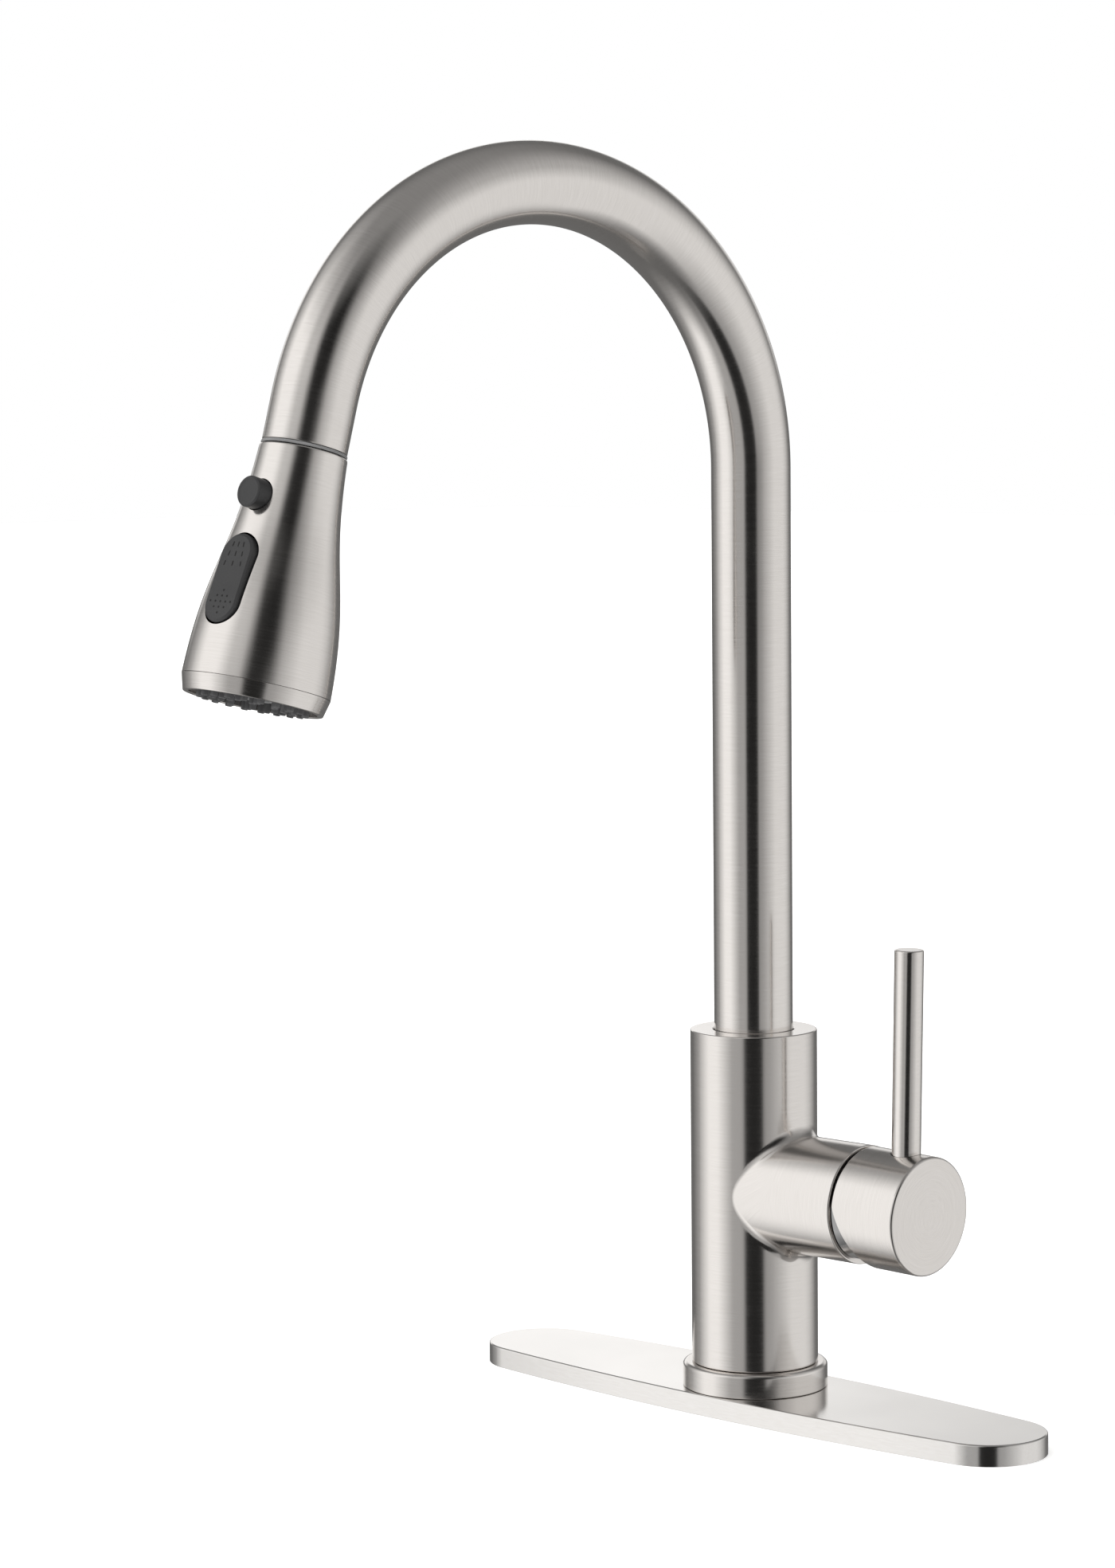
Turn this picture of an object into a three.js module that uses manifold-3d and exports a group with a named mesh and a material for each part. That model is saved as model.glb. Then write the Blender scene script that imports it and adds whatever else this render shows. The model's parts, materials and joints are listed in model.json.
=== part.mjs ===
// A single-lever kitchen faucet: a deck plate, an upright body with a side valve, a gooseneck spout
// that swivels, and a spray wand docked in its end that pulls down on a hose.
// Millimetres, +Z up. The origin is where the body's upright axis meets the top of the counter.
// The valve and its lever point to +X, and the spout reaches over the sink towards -Y.

import * as THREE from "three";
import { ParametricGeometry } from "three/addons/geometries/ParametricGeometry.js";
import { mergeVertices } from "three/addons/utils/BufferGeometryUtils.js";
import Module from "manifold-3d";

const wasm = await Module();
wasm.setup();

// ---- Driving dimensions ----

// Clearances
const runGap = 0.3; // between a moving piece and its guide, all round
const seatGap = 0.1; // between two flat faces that rest on each other
const turnedGap = 0.3; // between pieces that stand in turned groups

// Counter and deck plate
const counterThickness = 20;
const plateLength = 251.4;
const plateWidth = 53.2;
const plateHeight = 7.4;
const plateEndRadius = 20.85;
const plateWall = 1.2;
const plateEdge = 0.6; // soft top edge
const gasketThickness = 1.4;
const mountHoleRadius = 17.5;

// Body, base ring and side branch
const ringRadius = 25.85;
const ringTop = 16.1;
const ringEdge = 1.4;
const bodyRadius = 22.5;
const bodyTop = 135.7;
const bodyWall = 2.9;
const bodyFloor = 6;
const bodyRoof = 6.4;
const edgeBreak = 0.4; // small bevel on turned edges
const branchRadius = 20.84;
const branchReach = 29.4; // from the body's skin to the branch's end
const branchWall = 2.9;
const branchHeight = 78.75;
const branchBlend = 3; // rolling radius where the branch flows into the body

// Shank and fixings under the counter
const shankRadius = 15.6;
const shankWall = 1.6;
const shankDrop = 62; // below the counter's top
const shankEntry = 14; // up into the body
const washerRadius = 26;
const rubberWasherThickness = 3;
const steelWasherThickness = 1.6;
const nutThickness = 10;
const nutRadius = 23.5;
const nutScrewRadius = 2.4;
const nutScrewLength = 18;
const nutScrewCircle = 20.6;

// Water tubes and the brass core
const supplyRadius = 3.6;
const supplyBore = 2.4;
const supplyCircle = 10;
const supplyAngle = 115; // degrees from +X, hot and cold each side
const supplyDrop = 50;
const coreBelow = 20.5; // core under and over the valve axis
const coreAbove = 20.5;
const portRadius = 2.2;

// Valve cartridge, along the branch from its seat
const cartridgeDepth = 35;
const sealThickness = 0.9;
const cartridgeBaseLength = 6;
const discThickness = 3.5;
const carrierThickness = 3.2;
const housingWall = 1.8;
const housingLip = 3.5;
const turretInset = 6.3; // turret's radius under the housing's
const turretFlange = 1.6;
const pivotBehindEnd = 7.9; // lever pin, back from the branch's end
const pinRadius = 1.5;
const stemWidth = 6.4;
const stemHeight = 6;
const nutRingLength = 6;

// Chrome dome and lever hub, both round the lever pin
const domeRadius = 20.9;
const domeWall = 1.6;
const domeMouth = 12.5;
const hubSeam = 1.1; // open joint between branch and hub
const hubRadius = 20.76;
const hubLength = 27.2;
const hubCavity = 16;
const hubEndWall = 14.2;
const reliefAngle = 22; // rear of the hub is cut back below, so that it can tilt
const reliefHeight = 3.4;
const leverRadius = 5.085;
const leverSetback = 10.9; // lever's axis back from the hub's end
const leverTop = 91.6; // over the valve axis
const leverSocket = 7; // lever's foot over the valve axis
const handleLean = 1.2; // the closed lever leans out by this much

// Spout
const spoutRadius = 13.96;
const spoutWall = 1.2;
const spoutFoot = 102;
const legTop = 334.1; // where the arch starts
const archRadius = 97;
const archAngle = 164.8;
const tipLength = 16.1; // straight end of the tube after the arch
const spoutSwing = -6; // degrees the stored spout is turned about the body
const topGap = 0.45; // open joint round the spout in the body's top
const clipGroove = 0.6;
const clipThickness = 1.4;
const bushingLength = 23;
const sealRingThickness = 1.6;

// Dock in the spout's end
const dockLip = 1;
const dockLipProud = 0.2;
const dockDepth = 14;
const dockWall = 1.9;

// Wand, measured down from the dock's lower face
const wandTopProud = 0.45; // wand's top edge beyond the spout's skin
const wandTurn = 8; // degrees the wand is turned in its dock
const wandLength = 77.1;
const wandRadius = 24.25;
const wandWall = 1.4;
const wandRoof = 2;
const faceRingLength = 5.4;
const faceRingTaper = 1.1;
const faceRecess = 2.5;
const neckLength = 8;
const neckInside = 10;
const hoseRadius = 5;
const coreRadius = 12.4;
const coreChannel = 4.5;
const nozzleRings = [
  [17.4, 20],
  [13.7, 14],
  [10.2, 8],
];
const nozzleRadius = 1.15;
const nozzleLength = 4;
const aeratorRadius = 6.6;

// Controls on the wand
const buttonDown = 17.8;
const buttonRadius = 5.1;
const buttonReach = 20.6; // face from the wand's axis
const buttonFlange = 5.9;
const buttonFoot = 11; // inner end from the wand's axis
const buttonPocket = 7.2; // pocket floor from the wand's axis
const plungerRadius = 1.4;
const springRadius = 2.6;
const springWire = 0.35;
const springTurns = 4;
const rockerDown = 46.1;
const rockerReach = 21.6;
const rockerLean = 8.5;
const rockerHalfLength = 15.1;
const rockerHalfWidth = 7;
const rockerThickness = 4.8;
const rockerGap = 0.65;
const rockerPinDepth = 4.4;
const rockerPinRadius = 1.1;
const rockerPinLength = 12;
const tailReach = 2.6; // tail's end from the wand's axis

// ---- Values that follow ----

const degrees = Math.PI / 180;
const bodyBottom = ringTop + seatGap;
const bodyBore = bodyRadius - bodyWall;
const branchEnd = bodyRadius + branchReach;
const branchBore = branchRadius - branchWall;
const coreTop = branchHeight + coreAbove;
const coreBottom = branchHeight - coreBelow;
const seatX = branchEnd - cartridgeDepth;
const cartridgeRadius = branchBore - runGap;
const pivotX = branchEnd - pivotBehindEnd;
const spoutBore = spoutRadius - spoutWall;
const hubStart = branchEnd + hubSeam;
const hubEnd = hubStart + hubLength;
const leverX = hubEnd - leverSetback;
const dockRadius = spoutBore - runGap;
const dockBore = dockRadius - dockWall;
const neckRadius = dockBore - runGap;
const hoseNutRadius = neckRadius - 1.6;
const archEnd = archAngle * degrees;
const tipLean = 180 - archAngle;
const dockDrop = tipLength + seatGap + dockLip; // arch's end to the dock's lower face
const underCounter = -counterThickness;

// ---- Solids ----

// Shared corners are merged and the empty triangles at poles dropped, so the skin is one closed mesh.
function closed(geometry) {
  geometry.deleteAttribute("normal");
  geometry.deleteAttribute("uv");
  const merged = mergeVertices(geometry, 1e-4);
  const corners = merged.index.array;
  const kept = [];
  for (let i = 0; i < corners.length; i += 3) {
    const [a, b, c] = corners.slice(i, i + 3);
    if (a !== b && b !== c && c !== a) kept.push(a, b, c);
  }
  return merged.setIndex(kept);
}

function toSolid(geometry) {
  return new wasm.Manifold(
    new wasm.Mesh({
      numProp: 3,
      vertProperties: geometry.attributes.position.array,
      triVerts: new Uint32Array(geometry.index.array),
    }),
  );
}

function toGeometry(solid) {
  const mesh = solid.getMesh();
  return new THREE.BufferGeometry()
    .setAttribute("position", new THREE.BufferAttribute(mesh.vertProperties, 3))
    .setIndex(new THREE.BufferAttribute(mesh.triVerts, 1));
}

function join(first, ...others) {
  return toGeometry(others.reduce((sum, g) => sum.add(toSolid(g)), toSolid(first)));
}

function cut(first, ...tools) {
  return toGeometry(tools.reduce((rest, g) => rest.subtract(toSolid(g)), toSolid(first)));
}

// Turned round Z. A profile is [radius, height] pairs that go up the outside.
function turned(profile, sides = 20) {
  const points = profile.map(([r, z]) => new THREE.Vector2(r, z));
  return closed(new THREE.LatheGeometry(points, sides).rotateX(Math.PI / 2));
}

// A turned ring, whose profile closes on itself.
function ring(profile, sides) {
  return turned([...profile, profile[0]], sides);
}

function tube(outer, inner, low, high, sides) {
  return ring([[inner, low], [outer, low], [outer, high], [inner, high]], sides);
}

function rod(radius, low, high, sides = 16) {
  return turned([[0, low], [radius, low], [radius, high], [0, high]], sides);
}

function block(x, y, z) {
  const [lowX, highX] = x;
  const [lowY, highY] = y;
  const [lowZ, highZ] = z;
  const box = new THREE.BoxGeometry(highX - lowX, highY - lowY, highZ - lowZ);
  box.translate((lowX + highX) / 2, (lowY + highY) / 2, (lowZ + highZ) / 2);
  return closed(box);
}

function extruded(shape, low, high, curveSegments = 6) {
  const depth = high - low;
  const geometry = new THREE.ExtrudeGeometry(shape, { depth, bevelEnabled: false, curveSegments });
  return closed(geometry.translate(0, 0, low));
}

const alongX = (geometry) => geometry.rotateY(Math.PI / 2);
const alongFront = (geometry) => geometry.rotateX(Math.PI / 2); // +Z turns to -Y

// A stretch of a round profile about a point on the axis, as [radius, height] pairs.
function arcProfile(centre, radius, fromRadius, toRadius, steps) {
  const from = Math.asin(fromRadius / radius);
  const to = Math.asin(toRadius / radius);
  return Array.from({ length: steps + 1 }, (_, i) => {
    const a = from + ((to - from) * i) / steps;
    return [radius * Math.sin(a), centre + radius * Math.cos(a)];
  });
}

// ---- Materials ----

const finishes = {
  brushedNickel: [0xb9b4ac, 0.32, 1],
  polishedSteel: [0xcfccc8, 0.12, 1],
  chrome: [0xdedede, 0.06, 1],
  brass: [0xb08d4a, 0.35, 1],
  steel: [0x9a9a9a, 0.4, 1],
  blackPlastic: [0x2b2b2c, 0.5, 0],
  greyPlastic: [0x77787a, 0.5, 0],
  whitePlastic: [0xe4e2dc, 0.45, 0],
  rubber: [0x3c3d3f, 0.7, 0],
  ceramic: [0xf0eee8, 0.2, 0],
  foam: [0x1f1f20, 0.95, 0],
  braid: [0x8f9193, 0.4, 0.8],
};

function part(name, geometry, finish, group) {
  const [color, roughness, metalness] = finishes[finish];
  const material = new THREE.MeshStandardMaterial({ color, roughness, metalness });
  const mesh = new THREE.Mesh(geometry, material);
  mesh.name = name;
  group.add(mesh);
  return mesh;
}

// ---- Deck plate ----

// A long boat-like outline: two wide side arcs run into two end arcs without a corner.
function plateOutline(inset) {
  const halfLength = plateLength / 2;
  const halfWidth = plateWidth / 2;
  const endX = halfLength - plateEndRadius;
  const sideRadius =
    (endX ** 2 + halfWidth ** 2 - plateEndRadius ** 2) / (2 * (halfWidth - plateEndRadius));
  const sideY = sideRadius - halfWidth;
  const turn = Math.atan2(endX, sideY);
  const end = plateEndRadius - inset;
  const side = sideRadius - inset;
  const quarter = Math.PI / 2;
  const shape = new THREE.Shape();
  shape.absarc(endX, 0, end, turn - quarter, quarter - turn, false);
  shape.absarc(0, -sideY, side, quarter - turn, quarter + turn, false);
  shape.absarc(-endX, 0, end, quarter + turn, 3 * quarter - turn, false);
  shape.absarc(0, sideY, side, 3 * quarter - turn, 3 * quarter + turn, false);
  return shape;
}

function deckPlate() {
  const shell = closed(
    new THREE.ExtrudeGeometry(plateOutline(plateEdge), {
      depth: plateHeight,
      curveSegments: 6,
      bevelThickness: plateEdge,
      bevelSize: plateEdge,
      bevelSegments: 2,
    }).translate(0, 0, -plateEdge),
  );
  const under = block([-plateLength, plateLength], [-plateWidth, plateWidth], [-10, 0]);
  const hollow = extruded(plateOutline(plateWall), -1, plateHeight - plateWall);
  const hole = rod(mountHoleRadius, -1, plateHeight + 1, 24);
  return cut(shell, under, hollow, hole);
}

const padInset = plateWall + runGap;
const underplateTop = plateHeight - plateWall - seatGap;

function underplate() {
  const pocketLength = 40;
  const pocketGap = 5;
  const firstPocket = mountHoleRadius + 6;
  const pockets = [];
  for (const sideOfPlate of [-1, 1]) {
    for (let i = 0; i < 2; i += 1) {
      const near = firstPocket + i * (pocketLength + pocketGap);
      const far = near + pocketLength;
      const ends = sideOfPlate > 0 ? [near, far] : [-far, -near];
      const halfPocket = plateWidth / 2 - 11;
      pockets.push(block(ends, [-halfPocket, halfPocket], [0, underplateTop - 1.5]));
    }
  }
  const slab = extruded(plateOutline(padInset), gasketThickness + seatGap, underplateTop);
  return cut(slab, rod(mountHoleRadius, 0, plateHeight, 24), ...pockets);
}

function deckGasket() {
  const sheet = extruded(plateOutline(padInset), 0, gasketThickness);
  return cut(sheet, rod(mountHoleRadius, -1, plateHeight, 32));
}

// ---- Body ----

// Rolls a ball of the blend's radius round the joint of two crossing cylinders. Stations run from the
// middle of the branch's end, out along its skin, over the blend and into the body.
function branchSolid() {
  const arcSteps = 4;
  const stations = arcSteps + 4;
  const sink = 0.12;
  const point = (u, v, target) => {
    const angle = -u * 2 * Math.PI;
    const across = Math.cos(angle);
    const up = Math.sin(angle);
    const ballY = (branchRadius + branchBlend) * across;
    const ballX = Math.sqrt((bodyRadius + branchBlend) ** 2 - ballY ** 2);
    const station = Math.round(v * stations);
    const set = (x, r) => target.set(x, r * across, r * up);
    if (station === 0) return set(branchEnd, 0);
    if (station === 1) return set(branchEnd, branchRadius - edgeBreak);
    if (station === 2) return set(branchEnd - edgeBreak, branchRadius);
    if (station === stations) return set(0, 0);
    // From the branch's own skin to the body's, round the ball.
    const share = (station - 3) / arcSteps;
    const ball = new THREE.Vector3(ballX, ballY, (branchRadius + branchBlend) * up);
    const onBranch = new THREE.Vector3(0, -across, -up);
    const onBody = new THREE.Vector3(-ballX, -ballY, 0).normalize();
    const between = onBranch.angleTo(onBody);
    const first = Math.sin((1 - share) * between) / Math.sin(between);
    const second = Math.sin(share * between) / Math.sin(between);
    const outward = onBranch.multiplyScalar(first).addScaledVector(onBody, second);
    const reach = branchBlend + sink * share;
    return target.copy(ball.addScaledVector(outward, reach));
  };
  return closed(new ParametricGeometry(point, 32, stations));
}

function bodySolid() {
  const b = edgeBreak;
  const r = bodyRadius;
  const profile = [[0, bodyBottom], [r - b, bodyBottom], [r, bodyBottom + b]];
  profile.push([r, bodyTop - b], [r - b, bodyTop], [0, bodyTop]);
  const upright = turned(profile, 32);
  const branch = branchSolid().translate(0, 0, branchHeight);
  const bore = rod(bodyBore, bodyBottom + bodyFloor, bodyTop - bodyRoof, 32);
  const floorHole = rod(shankRadius + runGap, 0, branchHeight, 24);
  const topHole = rod(spoutRadius + topGap, branchHeight, bodyTop + 1, 24);
  const valveBore = alongX(rod(branchBore, 0, branchEnd + 1, 24));
  valveBore.translate(0, 0, branchHeight);
  return cut(join(upright, branch), bore, floorHole, topHole, valveBore);
}

const sealHeight = 1.6;
const sealInner = 18.4;
const sealOuter = 23;

function baseRing() {
  const low = plateHeight + seatGap;
  const inner = shankRadius + 1;
  const corner = [];
  for (let i = 0; i <= 3; i += 1) {
    const a = (i / 3) * (Math.PI / 2);
    corner.push([
      ringRadius - ringEdge + ringEdge * Math.cos(a),
      ringTop - ringEdge + ringEdge * Math.sin(a),
    ]);
  }
  const solid = ring([[inner, low], [ringRadius, low], ...corner, [inner, ringTop]], 32);
  return cut(solid, tube(sealOuter + 0.2, sealInner - 0.2, low - 1, low + sealHeight, 24));
}

function baseSeal() {
  const low = plateHeight + seatGap;
  return tube(sealOuter, sealInner, low, low + sealHeight - seatGap, 24);
}

// ---- Under the counter ----

const shankTop = bodyBottom + shankEntry;

function underParts(group) {
  const shank = tube(shankRadius, shankRadius - shankWall, -shankDrop, shankTop);
  part("mounting_shank", shank, "brass", group);
  const rubberLow = underCounter - seatGap - rubberWasherThickness;
  const steelLow = rubberLow - seatGap - steelWasherThickness;
  const nutHigh = steelLow - seatGap;
  const hole = shankRadius + runGap;
  const rubberWasher = tube(washerRadius, hole, rubberLow, rubberLow + rubberWasherThickness);
  part("rubber_washer", rubberWasher, "rubber", group);
  const steelWasher = tube(washerRadius, hole, steelLow, steelLow + steelWasherThickness);
  part("steel_washer", steelWasher, "steel", group);
  const nutLow = nutHigh - nutThickness;
  const nutBlank = tube(nutRadius, hole, nutLow, nutHigh, 6);
  const screwHoles = [-1, 1].map((s) =>
    rod(nutScrewRadius + runGap, nutLow - 1, nutHigh + 1, 12).translate(0, s * nutScrewCircle, 0),
  );
  const lugs = [-1, 1].map((s) =>
    rod(nutScrewRadius + 2.4, nutLow, nutHigh, 16).translate(0, s * nutScrewCircle, 0),
  );
  const shankHole = rod(hole, nutLow - 1, nutHigh + 1, 32);
  part("mounting_nut", cut(join(nutBlank, ...lugs), shankHole, ...screwHoles), "brass", group);
  [-1, 1].forEach((s, i) => {
    const tip = nutHigh - seatGap;
    const screw = join(
      rod(nutScrewRadius, tip - nutScrewLength, tip, 12),
      rod(nutScrewRadius * 1.7, tip - nutScrewLength - 3, tip - nutScrewLength, 6),
    );
    part(`nut_screw_${i + 1}`, screw.translate(0, s * nutScrewCircle, 0), "steel", group);
  });
}

// ---- Water tubes and core ----

const tubePlaces = [
  ["hot_supply_tube", supplyAngle],
  ["cold_supply_tube", -supplyAngle],
  ["mixed_outlet_tube", 0],
].map(([name, angle]) => ({
  name,
  x: supplyCircle * Math.cos(angle * degrees),
  y: supplyCircle * Math.sin(angle * degrees),
}));
const tubeSocket = 4;

function waterTubes(group) {
  for (const { name, x, y } of tubePlaces) {
    const pipe = tube(supplyRadius, supplyBore, -supplyDrop, coreBottom + tubeSocket - seatGap, 12);
    part(name, pipe.translate(x, y, 0), "brass", group);
  }
}

// Port places on the cartridge's seat, as [across, up] from the valve axis.
const inletRise = 4;
const outletDrop = 7;
const ports = [
  [tubePlaces[0].y, inletRise],
  [tubePlaces[1].y, inletRise],
  [0, -outletDrop],
];

function waterCore() {
  const radius = bodyBore - runGap;
  const past = radius + 1;
  const seat = block([seatX, bodyRadius + 1], [-past, past], [coreBottom - 1, coreTop + 1]);
  const drilled = [rod(hoseRadius + 4 * runGap, coreBottom - 1, coreTop + 1, 16)];
  tubePlaces.forEach(({ x, y }, i) => {
    const [across, up] = ports[i];
    const portZ = branchHeight + up;
    const socket = rod(supplyRadius + runGap, coreBottom - 1, coreBottom + tubeSocket, 12);
    drilled.push(socket.translate(x, y, 0));
    drilled.push(rod(portRadius, coreBottom, portZ, 8).translate(x, y, 0));
    drilled.push(alongX(rod(portRadius, x, seatX + 1, 8)).translate(0, across, portZ));
  });
  return cut(rod(radius, coreBottom, coreTop, 28), seat, ...drilled);
}

// ---- Valve cartridge ----

const baseX = seatX + seatGap + sealThickness + seatGap;
const fixedDiscX = baseX + cartridgeBaseLength + seatGap;
const movingDiscX = fixedDiscX + discThickness + seatGap;
const carrierX = movingDiscX + discThickness + seatGap;
const turretX = carrierX + carrierThickness + runGap;
const lipX = turretX + turretFlange + runGap;
const housingEnd = lipX + housingLip;
const turretRadius = cartridgeRadius - turretInset;
const turretEnd = pivotX + 2.5;
const housingBore = cartridgeRadius - housingWall;

// A disc on the valve axis with the three ports through it.
function portedDisc(radius, start, thickness, sides = 24) {
  const holes = ports.map(([across, up]) =>
    alongX(rod(portRadius, start - 1, start + thickness + 1, 8)).translate(0, across, up),
  );
  return cut(alongX(rod(radius, start, start + thickness, sides)), ...holes);
}

function cartridge(group) {
  const seal = portedDisc(cartridgeRadius - 2, seatX + seatGap, sealThickness);
  part("cartridge_seal", seal, "rubber", group);
  const foot = portedDisc(cartridgeRadius, baseX, cartridgeBaseLength);
  part("cartridge_base", foot, "whitePlastic", group);
  part("fixed_disc", portedDisc(cartridgeRadius - 3.6, fixedDiscX, discThickness), "ceramic", group);
  const housing = ring([
    [housingBore, fixedDiscX],
    [cartridgeRadius, fixedDiscX],
    [cartridgeRadius, housingEnd],
    [turretRadius + runGap, housingEnd],
    [turretRadius + runGap, lipX],
    [housingBore, lipX],
  ]);
  part("cartridge_housing", alongX(housing), "whitePlastic", group);
  const clampBore = turretRadius + 4 * runGap;
  const clamp = tube(branchBore - runGap, clampBore, housingEnd + seatGap, housingEnd + nutRingLength);
  part("cartridge_nut", alongX(clamp), "brass", group);
  part("trim_dome", alongX(domeSolid()), "chrome", group);
}

// The stem's ball sits in the carrier, a little above the valve axis while the closed lever leans out.
const stemBallRadius = 1.9;
const stemNeckRadius = 1.3;
const stemBallX = carrierX + runGap + stemBallRadius;
const discCarrierBore = stemBallRadius + runGap;
const discRise = (pivotX - stemBallX) * Math.sin(handleLean * degrees);

function slidingDisc(group) {
  const radius = cartridgeRadius - 7.4;
  const pocket = 0.6 * radius;
  const pocketTop = movingDiscX + 1.5;
  const mixing = block([movingDiscX - 1, pocketTop], [-pocket, pocket], [-pocket, pocket]);
  const disc = cut(alongX(rod(radius, movingDiscX, movingDiscX + discThickness, 24)), mixing);
  part("sliding_disc", disc.translate(0, 0, discRise), "ceramic", group);
  const carrier = alongX(tube(radius - 0.6, discCarrierBore, carrierX, carrierX + carrierThickness, 24));
  part("disc_carrier", carrier.translate(0, 0, discRise), "blackPlastic", group);
}

function turret(group) {
  const flange = rod(housingBore - runGap, turretX, turretX + turretFlange, 24);
  const neck = rod(turretRadius, turretX, turretEnd, 24);
  const slotHalf = 0.75 * turretRadius;
  const halfWidth = stemWidth / 2 + runGap;
  const slot = block([turretX - 1, turretEnd + 1], [-halfWidth, halfWidth], [-slotHalf, slotHalf]);
  const pinHole = alongFront(rod(pinRadius + runGap, -turretRadius - 1, turretRadius + 1, 16));
  pinHole.translate(pivotX, 0, 0);
  const solid = cut(join(alongX(flange), alongX(neck)), slot, pinHole);
  part("cartridge_turret", solid, "whitePlastic", group);
  const halfPin = turretRadius - 1;
  const pin = alongFront(rod(pinRadius, -halfPin, halfPin, 16));
  part("stem_pin", pin.translate(pivotX, 0, 0), "steel", group);
}

// A chrome cap centred on the lever pin, so that the hub can tilt round it.
function domeSolid() {
  const flangeX = branchEnd + turnedGap;
  const flangeRadius = Math.sqrt(domeRadius ** 2 - (flangeX - pivotX) ** 2);
  const skirt = branchBore - runGap;
  const skirtX = housingEnd + nutRingLength + seatGap;
  const inner = domeRadius - domeWall;
  const outside = arcProfile(pivotX, domeRadius, flangeRadius, domeMouth, 5);
  const inside = arcProfile(pivotX, inner, domeMouth, skirt - domeWall, 2);
  return ring(
    [[skirt - domeWall, skirtX], [skirt, skirtX], [skirt, flangeX], ...outside, ...inside],
    24,
  );
}

// ---- Lever hub, stem and lever, upright about the lever pin's height ----

const socketDepth = 7;
const stemEnd = hubEnd - hubEndWall + socketDepth;

function hubSolid() {
  const b = edgeBreak;
  const r = hubRadius;
  const profile = [[0, hubStart], [r - b, hubStart], [r, hubStart + b]];
  profile.push([r, hubEnd - b], [r - b, hubEnd], [0, hubEnd]);
  const blank = alongX(turned(profile, 32));
  const sweep = domeRadius + 0.4;
  const mouth = Math.sqrt(sweep ** 2 - (hubStart - pivotX) ** 2);
  const hollow = turned(
    [[0, hubStart - 1], [mouth, hubStart - 1], ...arcProfile(pivotX, sweep, mouth, hubCavity, 3),
      [hubCavity, hubEnd - hubEndWall], [0, hubEnd - hubEndWall]],
    24,
  );
  const relief = block([-60, 0], [-40, 40], [-80, 0]);
  relief.rotateY(-reliefAngle * degrees).translate(hubStart, 0, reliefHeight);
  const above = block([-80, 80], [-60, 60], [0, 80]).translate(hubStart, 0, reliefHeight);
  const halfWidth = stemWidth / 2 + runGap;
  const halfHeight = stemHeight / 2 + runGap;
  const socketX = [hubEnd - hubEndWall - 1, stemEnd + runGap];
  const socket = block(socketX, [-halfWidth, halfWidth], [-halfHeight, halfHeight]);
  const holes = [
    rod(leverRadius + 0.15, leverSocket - runGap, hubRadius + 1, 24),
    rod(screwRadius + runGap, -hubRadius, 0, 12),
    rod(plugRadius + runGap, -hubRadius - 1, plugTop, 16),
  ].map((hole) => hole.translate(leverX, 0, 0));
  return cut(blank, alongX(hollow), cut(relief, above), socket, ...holes);
}

const screwRadius = 2.4;
const screwLength = 9;
const plugRadius = 3.2;
const plugTop = -16.8;

function handle(group) {
  part("handle_hub", hubSolid(), "brushedNickel", group);
  const b = edgeBreak;
  const r = leverRadius;
  const side = [[0, leverSocket], [r, leverSocket], [r, leverTop - b], [r - b, leverTop], [0, leverTop]];
  part("lever", turned(side, 24).translate(leverX, 0, 0), "brushedNickel", group);
  const halfWidth = stemWidth / 2;
  const halfHeight = stemHeight / 2;
  const bar = block([pivotX - 4.5, stemEnd], [-halfWidth, halfWidth], [-halfHeight, halfHeight]);
  const neck = alongX(rod(stemNeckRadius, stemBallX, pivotX - 4, 12));
  const ball = closed(new THREE.SphereGeometry(stemBallRadius, 16, 10).translate(stemBallX, 0, 0));
  const pinHole = alongFront(rod(pinRadius + runGap, -halfWidth - 1, halfWidth + 1, 16));
  pinHole.translate(pivotX, 0, 0);
  part("cartridge_stem", cut(join(bar, neck, ball), pinHole), "brass", group);
  const screwTip = -halfHeight - seatGap;
  const screw = rod(screwRadius, screwTip - screwLength, screwTip, 12);
  part("hub_set_screw", screw.translate(leverX, 0, 0), "steel", group);
  const plugFace = -Math.sqrt(hubRadius ** 2 - plugRadius ** 2) + 0.2;
  const plug = rod(plugRadius, plugFace, plugTop - seatGap, 16);
  part("hub_plug", plug.translate(leverX, 0, 0), "greyPlastic", group);
}

// ---- Spout, turned about the body's axis ----

// Up the leg, round the arch and down the straight tip, with even steps in each stretch.
class SpoutPath extends THREE.Curve {
  constructor(foot, tip, archSteps) {
    super();
    this.foot = foot;
    this.tip = tip;
    this.archSteps = archSteps;
    this.steps = archSteps + (tip > 0 ? 2 : 1);
  }

  getPoint(t, target = new THREE.Vector3()) {
    const station = t * this.steps;
    if (station <= 1) return target.set(0, 0, this.foot + (legTop - this.foot) * station);
    const turn = (Math.min(station - 1, this.archSteps) / this.archSteps) * archEnd;
    const past = Math.max(station - 1 - this.archSteps, 0) * this.tip;
    return target.set(
      0,
      archRadius * (Math.cos(turn) - 1) - past * Math.sin(turn),
      legTop + archRadius * Math.sin(turn) + past * Math.cos(turn),
    );
  }

  // Stations stand where the points above put them, not at equal lengths.
  getUtoTmapping(u) {
    return u;
  }
}

function swept(shape, path, curveSegments) {
  const options = { extrudePath: path, steps: path.steps, bevelEnabled: false, curveSegments };
  return closed(new THREE.ExtrudeGeometry(shape, options));
}

function circle(radius) {
  return new THREE.Shape().absarc(0, 0, radius, 0, 2 * Math.PI, false);
}

function spoutTube() {
  const section = circle(spoutRadius);
  section.holes.push(new THREE.Path().absarc(0, 0, spoutBore, 0, 2 * Math.PI, true));
  const bend = swept(section, new SpoutPath(spoutFoot, tipLength, 17), 10);
  const grooveLow = spoutFoot + 1.5;
  const grooveHigh = grooveLow + clipThickness + runGap;
  return cut(bend, tube(spoutRadius + 2, spoutRadius - clipGroove, grooveLow, grooveHigh, 20));
}

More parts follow.
